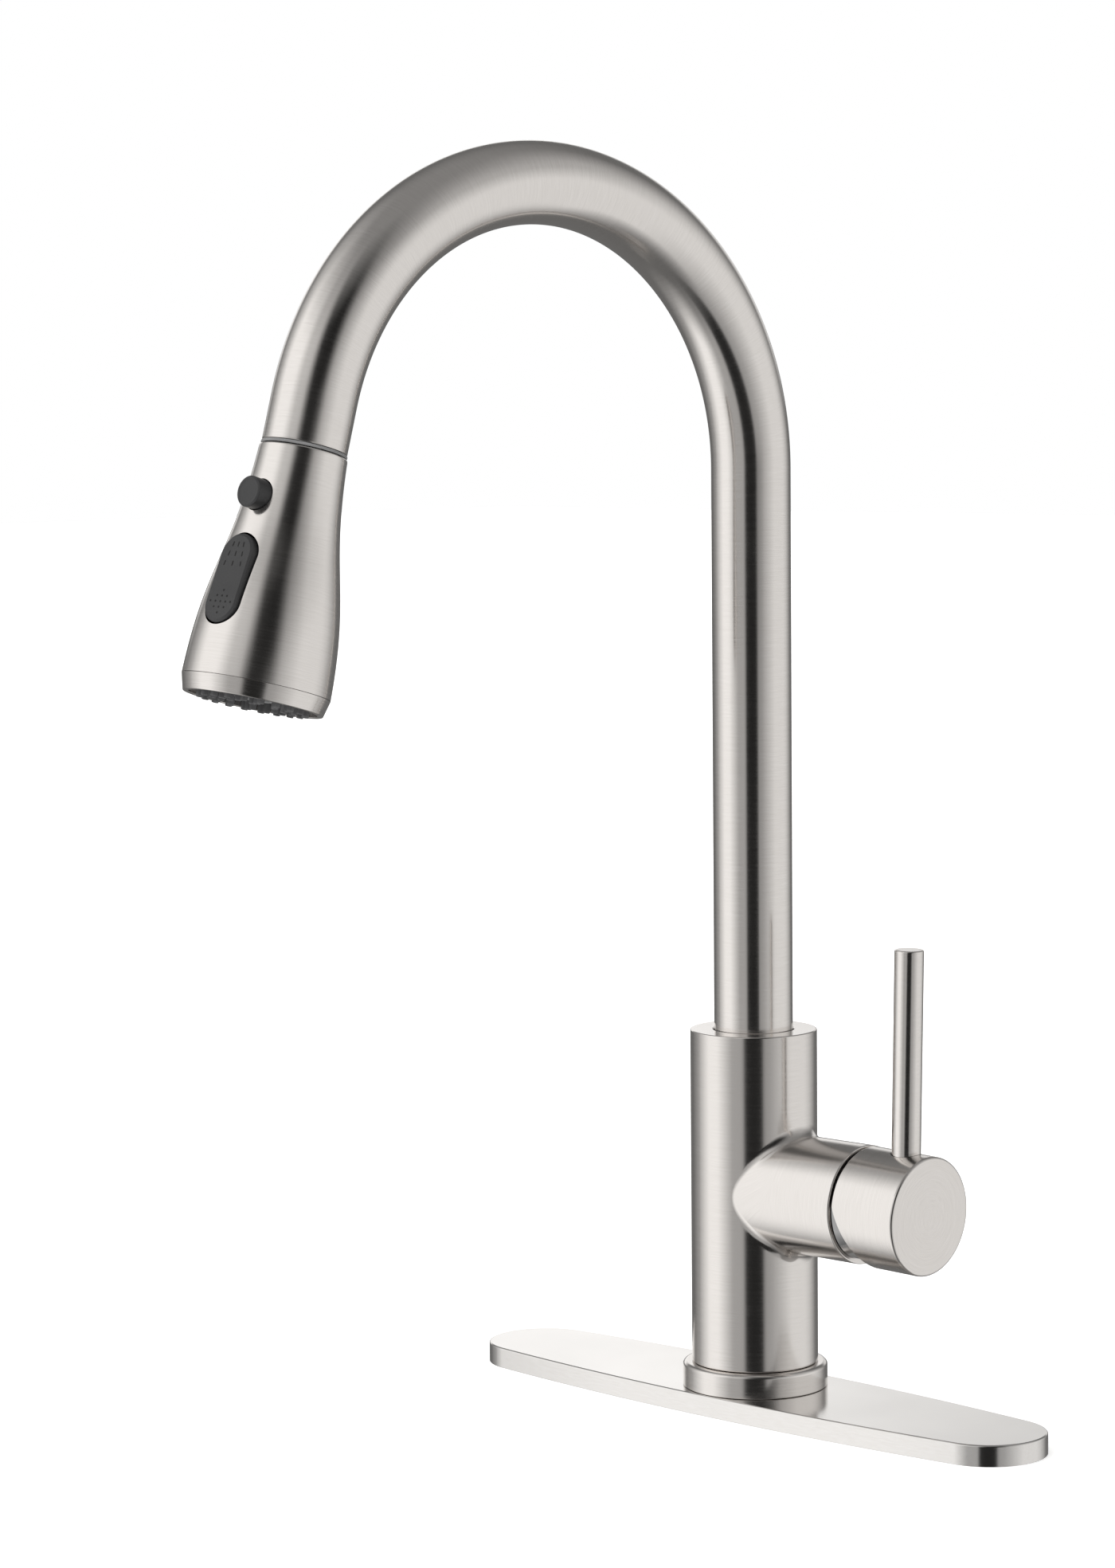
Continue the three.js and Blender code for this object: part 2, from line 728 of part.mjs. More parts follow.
const clipLow = spoutFoot + 1.5 + runGap / 2;
const bushingLow = clipLow + clipThickness + runGap;
const bushingHigh = bodyTop - bodyRoof - seatGap;

function spoutClip() {
  const high = clipLow + clipThickness;
  const solid = tube(spoutRadius + 2.6, spoutRadius - clipGroove + 0.1, clipLow, high, 20);
  return cut(solid, block([-6, 6], [0, 30], [clipLow - 1, high + 1]));
}

function swivel(group) {
  const outer = bodyBore - runGap;
  const bore = spoutRadius + runGap;
  const rings = [bushingLow + 5, bushingHigh - 5 - sealRingThickness];
  const grooves = rings.map((z) =>
    tube(bore + 1.3, bore - 1, z - 0.1, z + sealRingThickness + 0.1, 24),
  );
  const bushing = cut(tube(outer, bore, bushingLow, bushingHigh, 24), ...grooves);
  part("swivel_bushing", bushing, "whitePlastic", group);
  rings.forEach((z, i) => {
    const o = sealRingThickness / 2;
    const inner = spoutRadius + 0.12;
    const section = [[inner + 0.3, z], [inner + o, z], [inner + 1.1, z + o]];
    section.push([inner + o, z + 2 * o], [inner + 0.3, z + 2 * o], [inner, z + o]);
    part(`swivel_o_ring_${i + 1}`, ring(section, 24), "rubber", group);
  });
  const washer = tube(outer, hoseRadius + 4 * runGap, coreTop + seatGap, spoutFoot - runGap, 24);
  part("thrust_washer", washer, "whitePlastic", group);
}

// ---- Dock and wand, in a frame whose origin is the dock's lower face and whose -Z is the pull ----

const tubeEnd = dockLip + seatGap;

function dockInsert() {
  return ring([
    [dockBore, 0],
    [spoutRadius + dockLipProud, 0],
    [spoutRadius + dockLipProud, dockLip],
    [dockRadius, dockLip],
    [dockRadius, dockLip + dockDepth],
    [dockBore, dockLip + dockDepth],
  ]);
}

// The wand's flared side from its top to the face ring, as one S-shaped curve.
const wandTop = -runGap;
const wandSide = new THREE.CubicBezierCurve(
  new THREE.Vector2(spoutRadius + wandTopProud, wandTop),
  new THREE.Vector2(spoutRadius + 2.2, wandTop - 0.49 * wandLength),
  new THREE.Vector2(wandRadius - 0.6, wandTop - 0.53 * wandLength),
  new THREE.Vector2(wandRadius, wandTop - wandLength),
);
const wandBottom = wandTop - wandLength;
const faceBottom = wandBottom - runGap - faceRingLength;

// The wand's outer radius at a height, read off the side curve.
function wandRadiusAt(z) {
  const sides = wandSide.getPoints(200);
  return sides.find((p) => p.y <= z).x;
}

const rockerCentre = new THREE.Vector3(0, -rockerReach, wandTop - rockerDown);

// A geometry made flat on XY, face up, stands on the wand's front, leaning as the rocker does.
function onRocker(geometry) {
  geometry.rotateX((90 - rockerLean) * degrees);
  return geometry.translate(rockerCentre.x, rockerCentre.y, rockerCentre.z);
}

function stadium(halfWidth, halfLength) {
  const shape = new THREE.Shape();
  const straight = halfLength - halfWidth;
  shape.absarc(0, straight, halfWidth, 0, Math.PI, false);
  shape.absarc(0, -straight, halfWidth, Math.PI, 2 * Math.PI, false);
  return shape;
}

const buttonZ = wandTop - buttonDown;

function wandShell() {
  const steps = 7;
  const outside = wandSide.getPoints(steps).reverse().map((p) => [p.x, p.y]);
  const inside = wandSide
    .getPoints(steps)
    .map((p) => [p.x - wandWall, p.y])
    .filter(([, z]) => z < wandTop - wandRoof);
  const mouth = neckRadius + runGap;
  const roofInner = wandRadiusAt(wandTop - wandRoof) - wandWall;
  const solid = ring(
    [...outside, [mouth, wandTop], [mouth, wandTop - wandRoof], [roofInner, wandTop - wandRoof], ...inside],
    28,
  );
  const buttonHole = alongFront(rod(buttonRadius + runGap, 0, 40, 24)).translate(0, 0, buttonZ);
  const rockerHole = onRocker(
    extruded(stadium(rockerHalfWidth + rockerGap, rockerHalfLength + rockerGap), -12, 12),
  );
  return cut(solid, buttonHole, rockerHole);
}

function faceRing() {
  const top = wandBottom - runGap;
  const skirt = wandRadius - wandWall - runGap;
  const inner = skirt - 1.5;
  const rim = wandRadius - faceRingTaper;
  return ring(
    [
      [inner, faceBottom],
      [rim - edgeBreak, faceBottom],
      [rim, faceBottom + edgeBreak],
      [wandRadius - 0.05, top],
      [skirt - 0.6, top],
      [skirt - 0.6, top + 6],
      [inner, top + 6],
    ],
    28,
  );
}

const padRadius = wandRadius - wandWall - runGap - 1.5 - runGap;
const padFace = faceBottom + faceRecess;
const padThickness = 2;

function nozzlePad() {
  const pad = tube(padRadius, aeratorRadius + runGap, padFace, padFace + padThickness, 24);
  const low = padFace - nozzleLength / 2 + 0.5;
  const nozzles = nozzleRings.flatMap(([radius, count], row) =>
    Array.from({ length: count }, (_, i) => {
      const a = ((i + 0.5 * row) / count) * 2 * Math.PI;
      const nozzle = new THREE.CylinderGeometry(nozzleRadius, nozzleRadius * 0.8, nozzleLength, 5);
      nozzle.rotateX(Math.PI / 2).translate(radius * Math.cos(a), radius * Math.sin(a), low);
      return closed(nozzle);
    }),
  );
  return join(pad, ...nozzles);
}

const sprayPlateLow = padFace + padThickness + seatGap;
const sprayPlateThickness = 3;
const coreFoot = sprayPlateLow + sprayPlateThickness + seatGap;

function wandInside(group) {
  const plate = tube(padRadius, coreChannel, sprayPlateLow, sprayPlateLow + sprayPlateThickness, 24);
  const feeds = Array.from({ length: 6 }, (_, i) => {
    const a = (i / 6) * 2 * Math.PI;
    const feed = rod(1.6, sprayPlateLow - 1, sprayPlateLow + 5, 6);
    return feed.translate(14 * Math.cos(a), 14 * Math.sin(a), 0);
  });
  part("spray_plate", cut(plate, ...feeds), "greyPlastic", group);
  part("nozzle_pad", nozzlePad(), "rubber", group);
  const aerator = join(
    tube(aeratorRadius, aeratorRadius - 1.2, padFace - 1, padFace + padThickness, 16),
    rod(aeratorRadius - 0.5, padFace + 0.3, padFace + 1.3, 16),
  );
  part("aerator", aerator, "greyPlastic", group);
  part("wand_core", wandCore(), "blackPlastic", group);
  const neck = ring([
    [coreChannel, wandTop - neckInside],
    [neckRadius, wandTop - neckInside],
    [neckRadius, neckLength - 2],
    [neckRadius - 0.8, neckLength],
    [coreChannel, neckLength],
  ]);
  part("wand_neck", neck, "blackPlastic", group);
  const valveTop = wandTop - 1;
  const valve = tube(coreChannel - runGap, 1.6, valveTop - 8, valveTop, 16);
  part("check_valve", valve, "whitePlastic", group);
  const washer = tube(hoseNutRadius - 0.5, coreChannel, neckLength + seatGap, neckLength + 1);
  part("neck_washer", washer, "rubber", group);
  const nut = join(
    tube(hoseNutRadius, hoseRadius - 0.8, neckLength + 1.1, neckLength + 4.5, 18),
    tube(hoseNutRadius - 1.2, hoseRadius - 0.8, neckLength + 4.5, dockDrop - turnedGap, 18),
  );
  part("hose_nut", nut, "chrome", group);
}

const rockerPin = new THREE.Vector3(
  0,
  rockerCentre.y + rockerPinDepth * Math.cos(rockerLean * degrees),
  rockerCentre.z - rockerPinDepth * Math.sin(rockerLean * degrees),
);
const postInner = 3.4;
const postOuter = 5.7;
const postHalf = 2.3;
const tailHalfWidth = 1.2;
const spoolRadius = coreChannel - runGap;
const spoolHalf = 6;
// The tail leans with the rocker, so its end is lower than the pin.
const tailReachFromPin = rockerReach - tailReach - rockerPinDepth;
const tailDrop = tailReachFromPin * Math.sin(rockerLean * degrees);

function wandCore() {
  const top = wandTop - neckInside - seatGap;
  const wide = padRadius;
  const waist = coreFoot + 10;
  const body = ring([
    [coreChannel, coreFoot],
    [wide, coreFoot],
    [wide, coreFoot + 4],
    [coreRadius, waist],
    [coreRadius, wandTop - 20],
    [neckRadius + 1, top],
    [coreChannel, top],
  ]);
  const posts = [-1, 1].map((s) => {
    const x = s > 0 ? [postInner, postOuter] : [-postOuter, -postInner];
    const z = [rockerPin.z - postHalf, rockerPin.z + postHalf];
    return block(x, [rockerPin.y - 1.9, -coreRadius + 3], z);
  });
  const pinHole = alongX(rod(rockerPinRadius + 0.15, -rockerPinLength, rockerPinLength, 12));
  pinHole.translate(0, rockerPin.y, rockerPin.z);
  const pocket = alongFront(rod(buttonFlange + runGap, buttonPocket, 40, 20)).translate(0, 0, buttonZ);
  const plungerHole = alongFront(rod(plungerRadius + runGap, 0, buttonPocket + 1, 12)).translate(0, 0, buttonZ);
  const tailSlot = block(
    [-tailHalfWidth - runGap, tailHalfWidth + runGap],
    [-coreRadius - 1, 0],
    [rockerPin.z - 4.9, rockerPin.z + 1.8],
  );
  return cut(join(body, ...posts), pinHole, pocket, plungerHole, tailSlot);
}

function pauseButton(group) {
  const b = edgeBreak;
  const cap = turned(
    [
      [0, buttonFoot],
      [buttonFlange, buttonFoot],
      [buttonFlange, buttonFoot + 0.8],
      [buttonRadius, buttonFoot + 0.8],
      [buttonRadius, buttonReach - b],
      [buttonRadius - b, buttonReach],
      [0, buttonReach],
    ],
    24,
  );
  part("pause_button", alongFront(cap).translate(0, 0, buttonZ), "blackPlastic", group);
  const plunger = alongFront(rod(plungerRadius, 3, buttonFoot - seatGap, 12)).translate(0, 0, buttonZ);
  part("pause_plunger", plunger, "brass", group);
}

// A small compression spring, one wire swept along a helix.
class Helix extends THREE.Curve {
  getPoint(t, target = new THREE.Vector3()) {
    const a = t * springTurns * 2 * Math.PI;
    const low = buttonPocket + springWire + seatGap;
    const high = buttonFoot - springWire - seatGap;
    return target.set(springRadius * Math.cos(a), springRadius * Math.sin(a), low + (high - low) * t);
  }
}

function pauseSpring() {
  const coil = new Helix();
  coil.steps = springTurns * 8;
  return alongFront(swept(circle(springWire), coil, 2)).translate(0, 0, buttonZ);
}

function modeRocker(group) {
  const slab = extruded(stadium(rockerHalfWidth, rockerHalfLength), -rockerThickness, 0, 8);
  const notches = [-1, 1].map((s) => {
    const x = s > 0 ? [postInner - 0.4, postOuter + 0.4] : [-postOuter - 0.4, -postInner + 0.4];
    return block(x, [-postHalf - 1.2, postHalf + 1.2], [-rockerThickness - 1, -rockerPinDepth + 2.6]);
  });
  const tailLength = rockerReach - tailReach;
  const tail = block([-tailHalfWidth, tailHalfWidth], [-1, 1], [-tailLength, -rockerThickness + 1]);
  const pinHole = alongX(rod(rockerPinRadius + 0.3, -10, 10, 12)).translate(0, 0, -rockerPinDepth);
  const ribHalf = postInner - 0.5;
  const ribZ = [-rockerPinDepth - 2.4, -rockerThickness + 1];
  const rib = block([-ribHalf, ribHalf], [-3, 3], ribZ);
  const solid = cut(join(slab, rib, tail), ...notches, pinHole);
  part("mode_rocker", onRocker(solid), "blackPlastic", group);
}

function diverterSpool() {
  const middle = rockerPin.z - tailDrop;
  const low = middle - spoolHalf;
  const high = middle + spoolHalf;
  const solid = rod(spoolRadius, low, high, 20);
  const groove = tube(spoolRadius + 1, 1.4, middle - 1.7, middle + 1.7, 16);
  return cut(solid, groove);
}

function rockerPinSolid() {
  const half = rockerPinLength / 2;
  return alongX(rod(rockerPinRadius, -half, half, 12)).translate(0, rockerPin.y, rockerPin.z);
}

// ---- Assembly ----

const faucet = new THREE.Group();
faucet.name = "pull_down_faucet";

part("deck_plate", deckPlate(), "polishedSteel", faucet);
part("deck_underplate", underplate(), "blackPlastic", faucet);
part("deck_gasket", deckGasket(), "foam", faucet);
part("base_ring", baseRing(), "brushedNickel", faucet);
part("base_seal", baseSeal(), "rubber", faucet);
part("body", bodySolid(), "brushedNickel", faucet);
underParts(faucet);
waterTubes(faucet);
part("waterway_core", waterCore(), "brass", faucet);
swivel(faucet);

const valve = new THREE.Group();
valve.position.z = branchHeight;
faucet.add(valve);
cartridge(valve);
turret(valve);
slidingDisc(valve);

// The closed handle leans about the lever pin.
const handlePivot = new THREE.Group();
handlePivot.position.x = pivotX;
handlePivot.rotation.y = handleLean * degrees;
valve.add(handlePivot);
const handleFrame = new THREE.Group();
handleFrame.position.x = -pivotX;
handlePivot.add(handleFrame);
handle(handleFrame);

const spout = new THREE.Group();
spout.rotation.z = spoutSwing * degrees;
faucet.add(spout);
part("spout_tube", spoutTube(), "brushedNickel", spout);
part("spout_clip", spoutClip(), "steel", spout);
const hosePath = new SpoutPath(-shankDrop, 0, 17);
part("pull_hose", swept(circle(hoseRadius), hosePath, 5), "braid", spout);

const dock = new THREE.Group();
dock.position.set(
  0,
  archRadius * (Math.cos(archEnd) - 1) - dockDrop * Math.sin(archEnd),
  legTop + archRadius * Math.sin(archEnd) + dockDrop * Math.cos(archEnd),
);
dock.rotation.x = -tipLean * degrees;
spout.add(dock);
part("dock_insert", dockInsert(), "greyPlastic", dock);

const wand = new THREE.Group();
wand.rotation.z = wandTurn * degrees;
dock.add(wand);
part("wand_shell", wandShell(), "brushedNickel", wand);
part("face_ring", faceRing(), "brushedNickel", wand);
wandInside(wand);
pauseButton(wand);
part("pause_spring", pauseSpring(), "steel", wand);
modeRocker(wand);
part("rocker_pin", rockerPinSolid(), "steel", wand);
part("diverter_spool", diverterSpool(), "whitePlastic", wand);

export default faucet;
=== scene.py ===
# A kitchen faucet with a pull-down spray wand: the finished skins and finishes round its working parts.
# Shapes are worked out in millimetres in each piece's own frame, then placed in metres.
import json
import math
import bpy
import bmesh
import numpy as np
from mathutils import Matrix, Vector


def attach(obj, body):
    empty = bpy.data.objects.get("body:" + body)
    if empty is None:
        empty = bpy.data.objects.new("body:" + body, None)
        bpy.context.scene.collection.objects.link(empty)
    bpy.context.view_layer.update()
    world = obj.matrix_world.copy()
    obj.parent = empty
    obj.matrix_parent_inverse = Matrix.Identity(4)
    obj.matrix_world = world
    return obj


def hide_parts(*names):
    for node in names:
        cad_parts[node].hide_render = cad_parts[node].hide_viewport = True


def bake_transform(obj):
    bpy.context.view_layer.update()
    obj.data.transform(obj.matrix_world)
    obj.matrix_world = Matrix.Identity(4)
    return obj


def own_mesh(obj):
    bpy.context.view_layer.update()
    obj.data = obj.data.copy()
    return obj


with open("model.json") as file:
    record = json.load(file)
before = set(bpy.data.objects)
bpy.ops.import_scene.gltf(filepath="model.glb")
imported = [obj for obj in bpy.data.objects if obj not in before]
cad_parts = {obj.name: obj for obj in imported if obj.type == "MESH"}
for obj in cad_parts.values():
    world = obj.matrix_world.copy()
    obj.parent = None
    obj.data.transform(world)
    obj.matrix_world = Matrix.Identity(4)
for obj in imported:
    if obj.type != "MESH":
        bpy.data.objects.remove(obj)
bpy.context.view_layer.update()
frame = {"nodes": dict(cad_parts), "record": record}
scene = bpy.context.scene
mm = 0.001
fullTurn = 2 * math.pi
print("frame loaded:", len(frame["nodes"]), "nodes")

# ---- camera ----

camera = {
    "place": (0.98190, -1.11670, 0.35883),
    "heading": 0.76760,  # radians, how far it stands round from -Y towards +X
    "pitch": 0.0909,
    "roll": -0.0091,
    "lens": 96.9,
}


def makeCamera(c):
    ahead = Vector((-math.sin(c["heading"]) * math.cos(c["pitch"]),
                    math.cos(c["heading"]) * math.cos(c["pitch"]), -math.sin(c["pitch"])))
    right = Vector((math.cos(c["heading"]), math.sin(c["heading"]), 0))
    over = right.cross(ahead)
    side = math.cos(c["roll"]) * right + math.sin(c["roll"]) * over
    top = math.cos(c["roll"]) * over - math.sin(c["roll"]) * right
    data = bpy.data.cameras.new("camera")
    data.lens = c["lens"]
    data.sensor_width = 36
    data.clip_start = 0.05
    data.clip_end = 30
    obj = bpy.data.objects.new("camera", data)
    turned = Matrix((side, top, -ahead)).transposed().to_4x4()
    obj.matrix_world = Matrix.Translation(c["place"]) @ turned
    scene.collection.objects.link(obj)
    scene.camera = obj


makeCamera(camera)

# ---- frames the pieces are shaped in ----


def moved(x, y, z):
    return np.array(Matrix.Translation((x, y, z)))


def turnedAbout(axis, degrees):
    return np.array(Matrix.Rotation(math.radians(degrees), 4, axis))


deck = {"length": 251.4, "width": 53.2, "height": 7.4, "endRadius": 20.85, "wall": 1.2, "edge": 0.7,
        "hole": 17.5}
valve = {"height": 78.75, "pivot": 44.0, "lean": 1.2}
spout = {"radius": 13.96, "wall": 1.2, "foot": 102.0, "legTop": 334.1, "arch": 97.0, "bend": 164.8,
         "tip": 16.1, "swing": -6}
dock = {"lip": 1.0, "proud": 0.2, "depth": 14, "wall": 1.9, "gap": 0.3}
wand = {"turn": 8, "top": -0.3, "length": 77.1, "proud": 0.45, "radius": 24.25, "wall": 1.4, "roof": 2.0,
        "neckOut": 2.2, "neckDown": 0.49, "flareIn": 0.6, "flareDown": 0.53, "topEdge": 0.6}
button = {"down": 17.8, "pocket": 7.2, "radius": 5.1, "reach": 20.6, "foot": 11.0, "flange": 5.9,
          "flangeTop": 11.8, "gap": 0.3}
rocker = {"down": 46.1, "reach": 21.6, "lean": 8.5, "halfLength": 15.1, "halfWidth": 7.0,
          "thickness": 4.8, "gap": 0.65, "sink": -3.8, "notch": (3.0, 6.1), "pin": 1.4, "pinDown": -4.4}

bend = math.radians(spout["bend"])
dockDrop = spout["tip"] + 0.1 + dock["lip"]
rowFrame = np.eye(4)
alongX = turnedAbout("Y", 90)
alongFront = turnedAbout("X", 90)
valveFrame = moved(0, 0, valve["height"])
handleFrame = (valveFrame @ moved(valve["pivot"], 0, 0) @ turnedAbout("Y", valve["lean"])
               @ moved(-valve["pivot"], 0, 0))
spoutFrame = turnedAbout("Z", spout["swing"])
dockFrame = (spoutFrame
             @ moved(0, spout["arch"] * (math.cos(bend) - 1) - dockDrop * math.sin(bend),
                     spout["legTop"] + spout["arch"] * math.sin(bend) + dockDrop * math.cos(bend))
             @ turnedAbout("X", spout["bend"] - 180))
wandFrame = dockFrame @ turnedAbout("Z", wand["turn"])
buttonFrame = wandFrame @ moved(0, 0, wand["top"] - button["down"]) @ alongFront
rockerFrame = (wandFrame @ moved(0, -rocker["reach"], wand["top"] - rocker["down"])
               @ turnedAbout("X", 90 - rocker["lean"]))

# ---- shaping ----


def softened(corners, closed=False, arcSteps=5, step=2.5):
    # a profile of (across, along, radius) corners: an arc tangent to both sides stands in for each
    # corner that has a radius, with a near point on each side so that the flats shade flat
    points = []
    for i, (x, y, radius) in enumerate(corners):
        here = np.array((x, y), float)
        if radius == 0:
            points.append(here)
            continue
        back = np.array(corners[i - 1][:2]) - here
        on = np.array(corners[(i + 1) % len(corners)][:2]) - here
        back, on = back / np.linalg.norm(back), on / np.linalg.norm(on)
        half = math.acos(np.clip(back @ on, -1, 1)) / 2
        reach = radius / math.tan(half)
        middle = here + (back + on) / np.linalg.norm(back + on) * radius / math.sin(half)
        first, last = here + back * reach - middle, here + on * reach - middle
        sweep = math.pi - 2 * half
        share = np.linspace(0, 1, arcSteps + 1)[:, None]
        arc = (np.sin((1 - share) * sweep) * first + np.sin(share * sweep) * last) / math.sin(sweep)
        points += [here + back * (reach + 0.12), *(middle + arc), here + on * (reach + 0.12)]
    if closed:
        points.append(points[0])
    filled = [points[0]]
    for a, b in zip(points[:-1], points[1:]):
        pieces = max(1, int(np.ceil(np.linalg.norm(b - a) / step)))
        filled += [a + (b - a) * k / pieces for k in range(1, pieces + 1)]
    return np.array(filled[:-1] if closed else filled)


def gridSurface(points, closedAlong=False, closedRound=True):
    # rows along and columns round, joined by quads; the volume's sign turns the faces outwards
    rows, columns = points.shape[:2]
    index = np.arange(rows * columns).reshape(rows, columns)
    if closedRound:
        index = np.hstack([index, index[:, :1]])
    if closedAlong:
        index = np.vstack([index, index[:1]])
    quads = np.stack([index[:-1, :-1], index[:-1, 1:], index[1:, 1:], index[1:, :-1]], -1)
    quads, flat = quads.reshape(-1, 4), points.reshape(-1, 3)
    a, b, c, d = (flat[quads[:, k]] for k in range(4))
    volume = (a * np.cross(b, c)).sum() + (a * np.cross(c, d)).sum()
    return flat, quads if volume > 0 else quads[:, ::-1]


def turnedSurface(profile, sides=96, closed=False):
    # a profile of (radius, height) carried round the Z axis
    angle = np.linspace(0, fullTurn, sides, endpoint=False)
    radius, height = profile[:, :1], profile[:, 1:]
    ring = np.stack([radius * np.cos(angle), radius * np.sin(angle), height + 0 * angle], -1)
    return gridSurface(ring, closedAlong=closed)


def turnedSolid(corners, sides=96, step=2.5, arcSteps=5):
    return turnedSurface(softened([(0, corners[0][1], 0), *corners, (0, corners[-1][1], 0)],
                                  step=step, arcSteps=arcSteps), sides)


def turnedRing(corners, sides=96, step=2.5, arcSteps=5):
    return turnedSurface(softened(corners, True, arcSteps, step), sides, closed=True)


def outlineSurface(outline, normal, profile, closed=False):
    # each profile point (inset, height) moves the whole outline inwards along its normals and up
    inset, height = profile[:, 0][:, None, None], profile[:, 1][:, None, None]
    flat = outline[None] - inset * normal[None]
    return gridSurface(np.concatenate([flat, height + 0 * flat[..., :1]], -1), closedAlong=closed)


def boxSurface(low, high):
    (a, b, c), (d, e, f) = low, high
    ring = np.array([[a, b], [d, b], [d, e], [a, e]], float)
    rows = [np.c_[ring.mean(0) + 0 * ring, [c] * 4], np.c_[ring, [c] * 4],
            np.c_[ring, [f] * 4], np.c_[ring.mean(0) + 0 * ring, [f] * 4]]
    return gridSurface(np.array(rows))


def atPlace(surface, matrix):
    points, faces = surface
    return points @ matrix[:3, :3].T + matrix[:3, 3], faces


def together(surfaces):
    counts = np.cumsum([0] + [len(p) for p, _ in surfaces[:-1]])
    return (np.vstack([p for p, _ in surfaces]),
            np.vstack([f + n for (_, f), n in zip(surfaces, counts)]))


def meshOf(surface, weld=True):
    points, faces = surface
    mesh = bpy.data.meshes.new("shape")
    mesh.from_pydata(points, [], faces)
    if weld:
        work = bmesh.new()
        work.from_mesh(mesh)
        bmesh.ops.remove_doubles(work, verts=work.verts, dist=1e-4)
        work.to_mesh(mesh)
        work.free()
    return mesh


def combined(operation, base, *tools):
    # the tools are joined to the base or taken from it, one after another
    result = base if isinstance(base, bpy.types.Mesh) else meshOf(base)
    for tool in tools:
        both = []
        for mesh in (result, tool if isinstance(tool, bpy.types.Mesh) else meshOf(tool)):
            obj = bpy.data.objects.new("work", mesh)
            scene.collection.objects.link(obj)
            both.append(obj)
        change = both[0].modifiers.new("change", "BOOLEAN")
        change.operation = operation
        change.solver = "EXACT"
        change.object = both[1]
        bpy.context.view_layer.update()
        view = both[0].evaluated_get(bpy.context.evaluated_depsgraph_get())
        result = bpy.data.meshes.new_from_object(view)
        for obj in both:
            bpy.data.objects.remove(obj)
    return result


def grainOf(points, style, path=None):
    # where the brushing runs round a piece, its lines keep one height and distance from the axis
    x, y, z = points.T
    if style == "flat":
        return np.c_[x * 0.05, y * 1.6, z * 1.6 + 7]
    if style == "branched":
        side = (x > 22.7) & (np.hypot(y, z) < 21.2)
        a = np.where(side, y, x)
        b = np.where(side, z, y)
        along = np.where(side, x, z)
        return np.c_[along - np.hypot(a, b), np.arctan2(b, a) * 2, 0 * x]
    if style == "path":
        return path
    return np.c_[z - np.hypot(x, y), np.cos(np.arctan2(y, x)) * 2, np.sin(np.arctan2(y, x)) * 2]


def finishPiece(name, surface, place, body, finish, nodes=(), style="turned", path=None, sharp=34):
    # finish names the material, and the slot where CAD nodes are replaced
    mesh = surface if isinstance(surface, bpy.types.Mesh) else meshOf(surface, path is None)
    mesh.name = name
    points = np.empty(len(mesh.vertices) * 3)
    mesh.vertices.foreach_get("co", points)
    points = points.reshape(-1, 3)
    grain = mesh.attributes.new("grain", "FLOAT_VECTOR", "POINT")
    grain.data.foreach_set("vector", grainOf(points, style, path).astype(np.float32).ravel())
    world = (points @ place[:3, :3].T + place[:3, 3]) * mm
    mesh.vertices.foreach_set("co", world.ravel())
    mesh.polygons.foreach_set("use_smooth", np.ones(len(mesh.polygons), bool))
    mesh.set_sharp_from_angle(angle=math.radians(sharp))
    mesh.materials.clear()
    mesh.materials.append(finishes[finish])
    mesh.update()
    obj = bpy.data.objects.new(name, mesh)
    scene.collection.objects.link(obj)
    if body:
        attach(obj, body)
    if nodes:
        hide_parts(*nodes)
    return obj


# ---- finishes ----


def newFinish(name, **sockets):
    material = bpy.data.materials.new(name)
    material.use_nodes = True
    shader = material.node_tree.nodes["Principled BSDF"]
    for key, value in sockets.items():
        shader.inputs[key.replace("_", " ")].default_value = value
    return material, material.node_tree, shader


def addNode(tree, kind, settings=None, **inputs):
    node = tree.nodes.new(kind)
    for key, value in (settings or {}).items():
        setattr(node, key, value)
    for key, value in inputs.items():
        socket = node.inputs[int(key[1:]) if key.startswith("n") else key.replace("_", " ")]
        if isinstance(value, bpy.types.NodeSocket):
            tree.links.new(value, socket)
        else:
            socket.default_value = value
    return node


def grainNoise(tree, scale, detail=3, source="grain"):
    if source == "grain":
        where = addNode(tree, "ShaderNodeAttribute", {"attribute_name": "grain"}).outputs["Vector"]
    else:
        where = addNode(tree, "ShaderNodeTexCoord").outputs["Object"]
    spread = addNode(tree, "ShaderNodeMapping", n0=where, n3=scale)
    noise = addNode(tree, "ShaderNodeTexNoise", n0=spread.outputs[0], Scale=1.0, Detail=detail,
                    Roughness=0.6)
    return noise.outputs[0]


def ranged(tree, value, low, high, fromLow=0.3, fromHigh=0.7):
    return addNode(tree, "ShaderNodeMapRange", n0=value, n1=fromLow, n2=fromHigh, n3=low,
                   n4=high).outputs[0]


def tinted(tree, factor, first, second):
    mix = addNode(tree, "ShaderNodeMix", {"data_type": "RGBA"})
    tree.links.new(factor, mix.inputs[0])
    mix.inputs[6].default_value = (*first, 1)
    mix.inputs[7].default_value = (*second, 1)
    return mix.outputs[2]


def brushedFinish(name, look):
    material, tree, shader = newFinish(name, Metallic=1.0)
    streaks = grainNoise(tree, (look["lines"], 0.9, 0.9), 4)
    patches = grainNoise(tree, (28, 28, 28), 2, "object")
    shade = ranged(tree, streaks, 0, 1)
    tree.links.new(tinted(tree, shade, look["deep"], look["pale"]), shader.inputs["Base Color"])
    rough = ranged(tree, streaks, look["roughness"] - look["spread"], look["roughness"] + look["spread"])
    uneven = ranged(tree, patches, -0.012, 0.02)
    total = addNode(tree, "ShaderNodeMath", {"operation": "ADD"}, n0=rough, n1=uneven)
    tree.links.new(total.outputs[0], shader.inputs["Roughness"])
    bump = addNode(tree, "ShaderNodeBump", Strength=look["bump"], Distance=0.00002, Height=streaks)
    tree.links.new(bump.outputs[0], shader.inputs["Normal"])
    return material


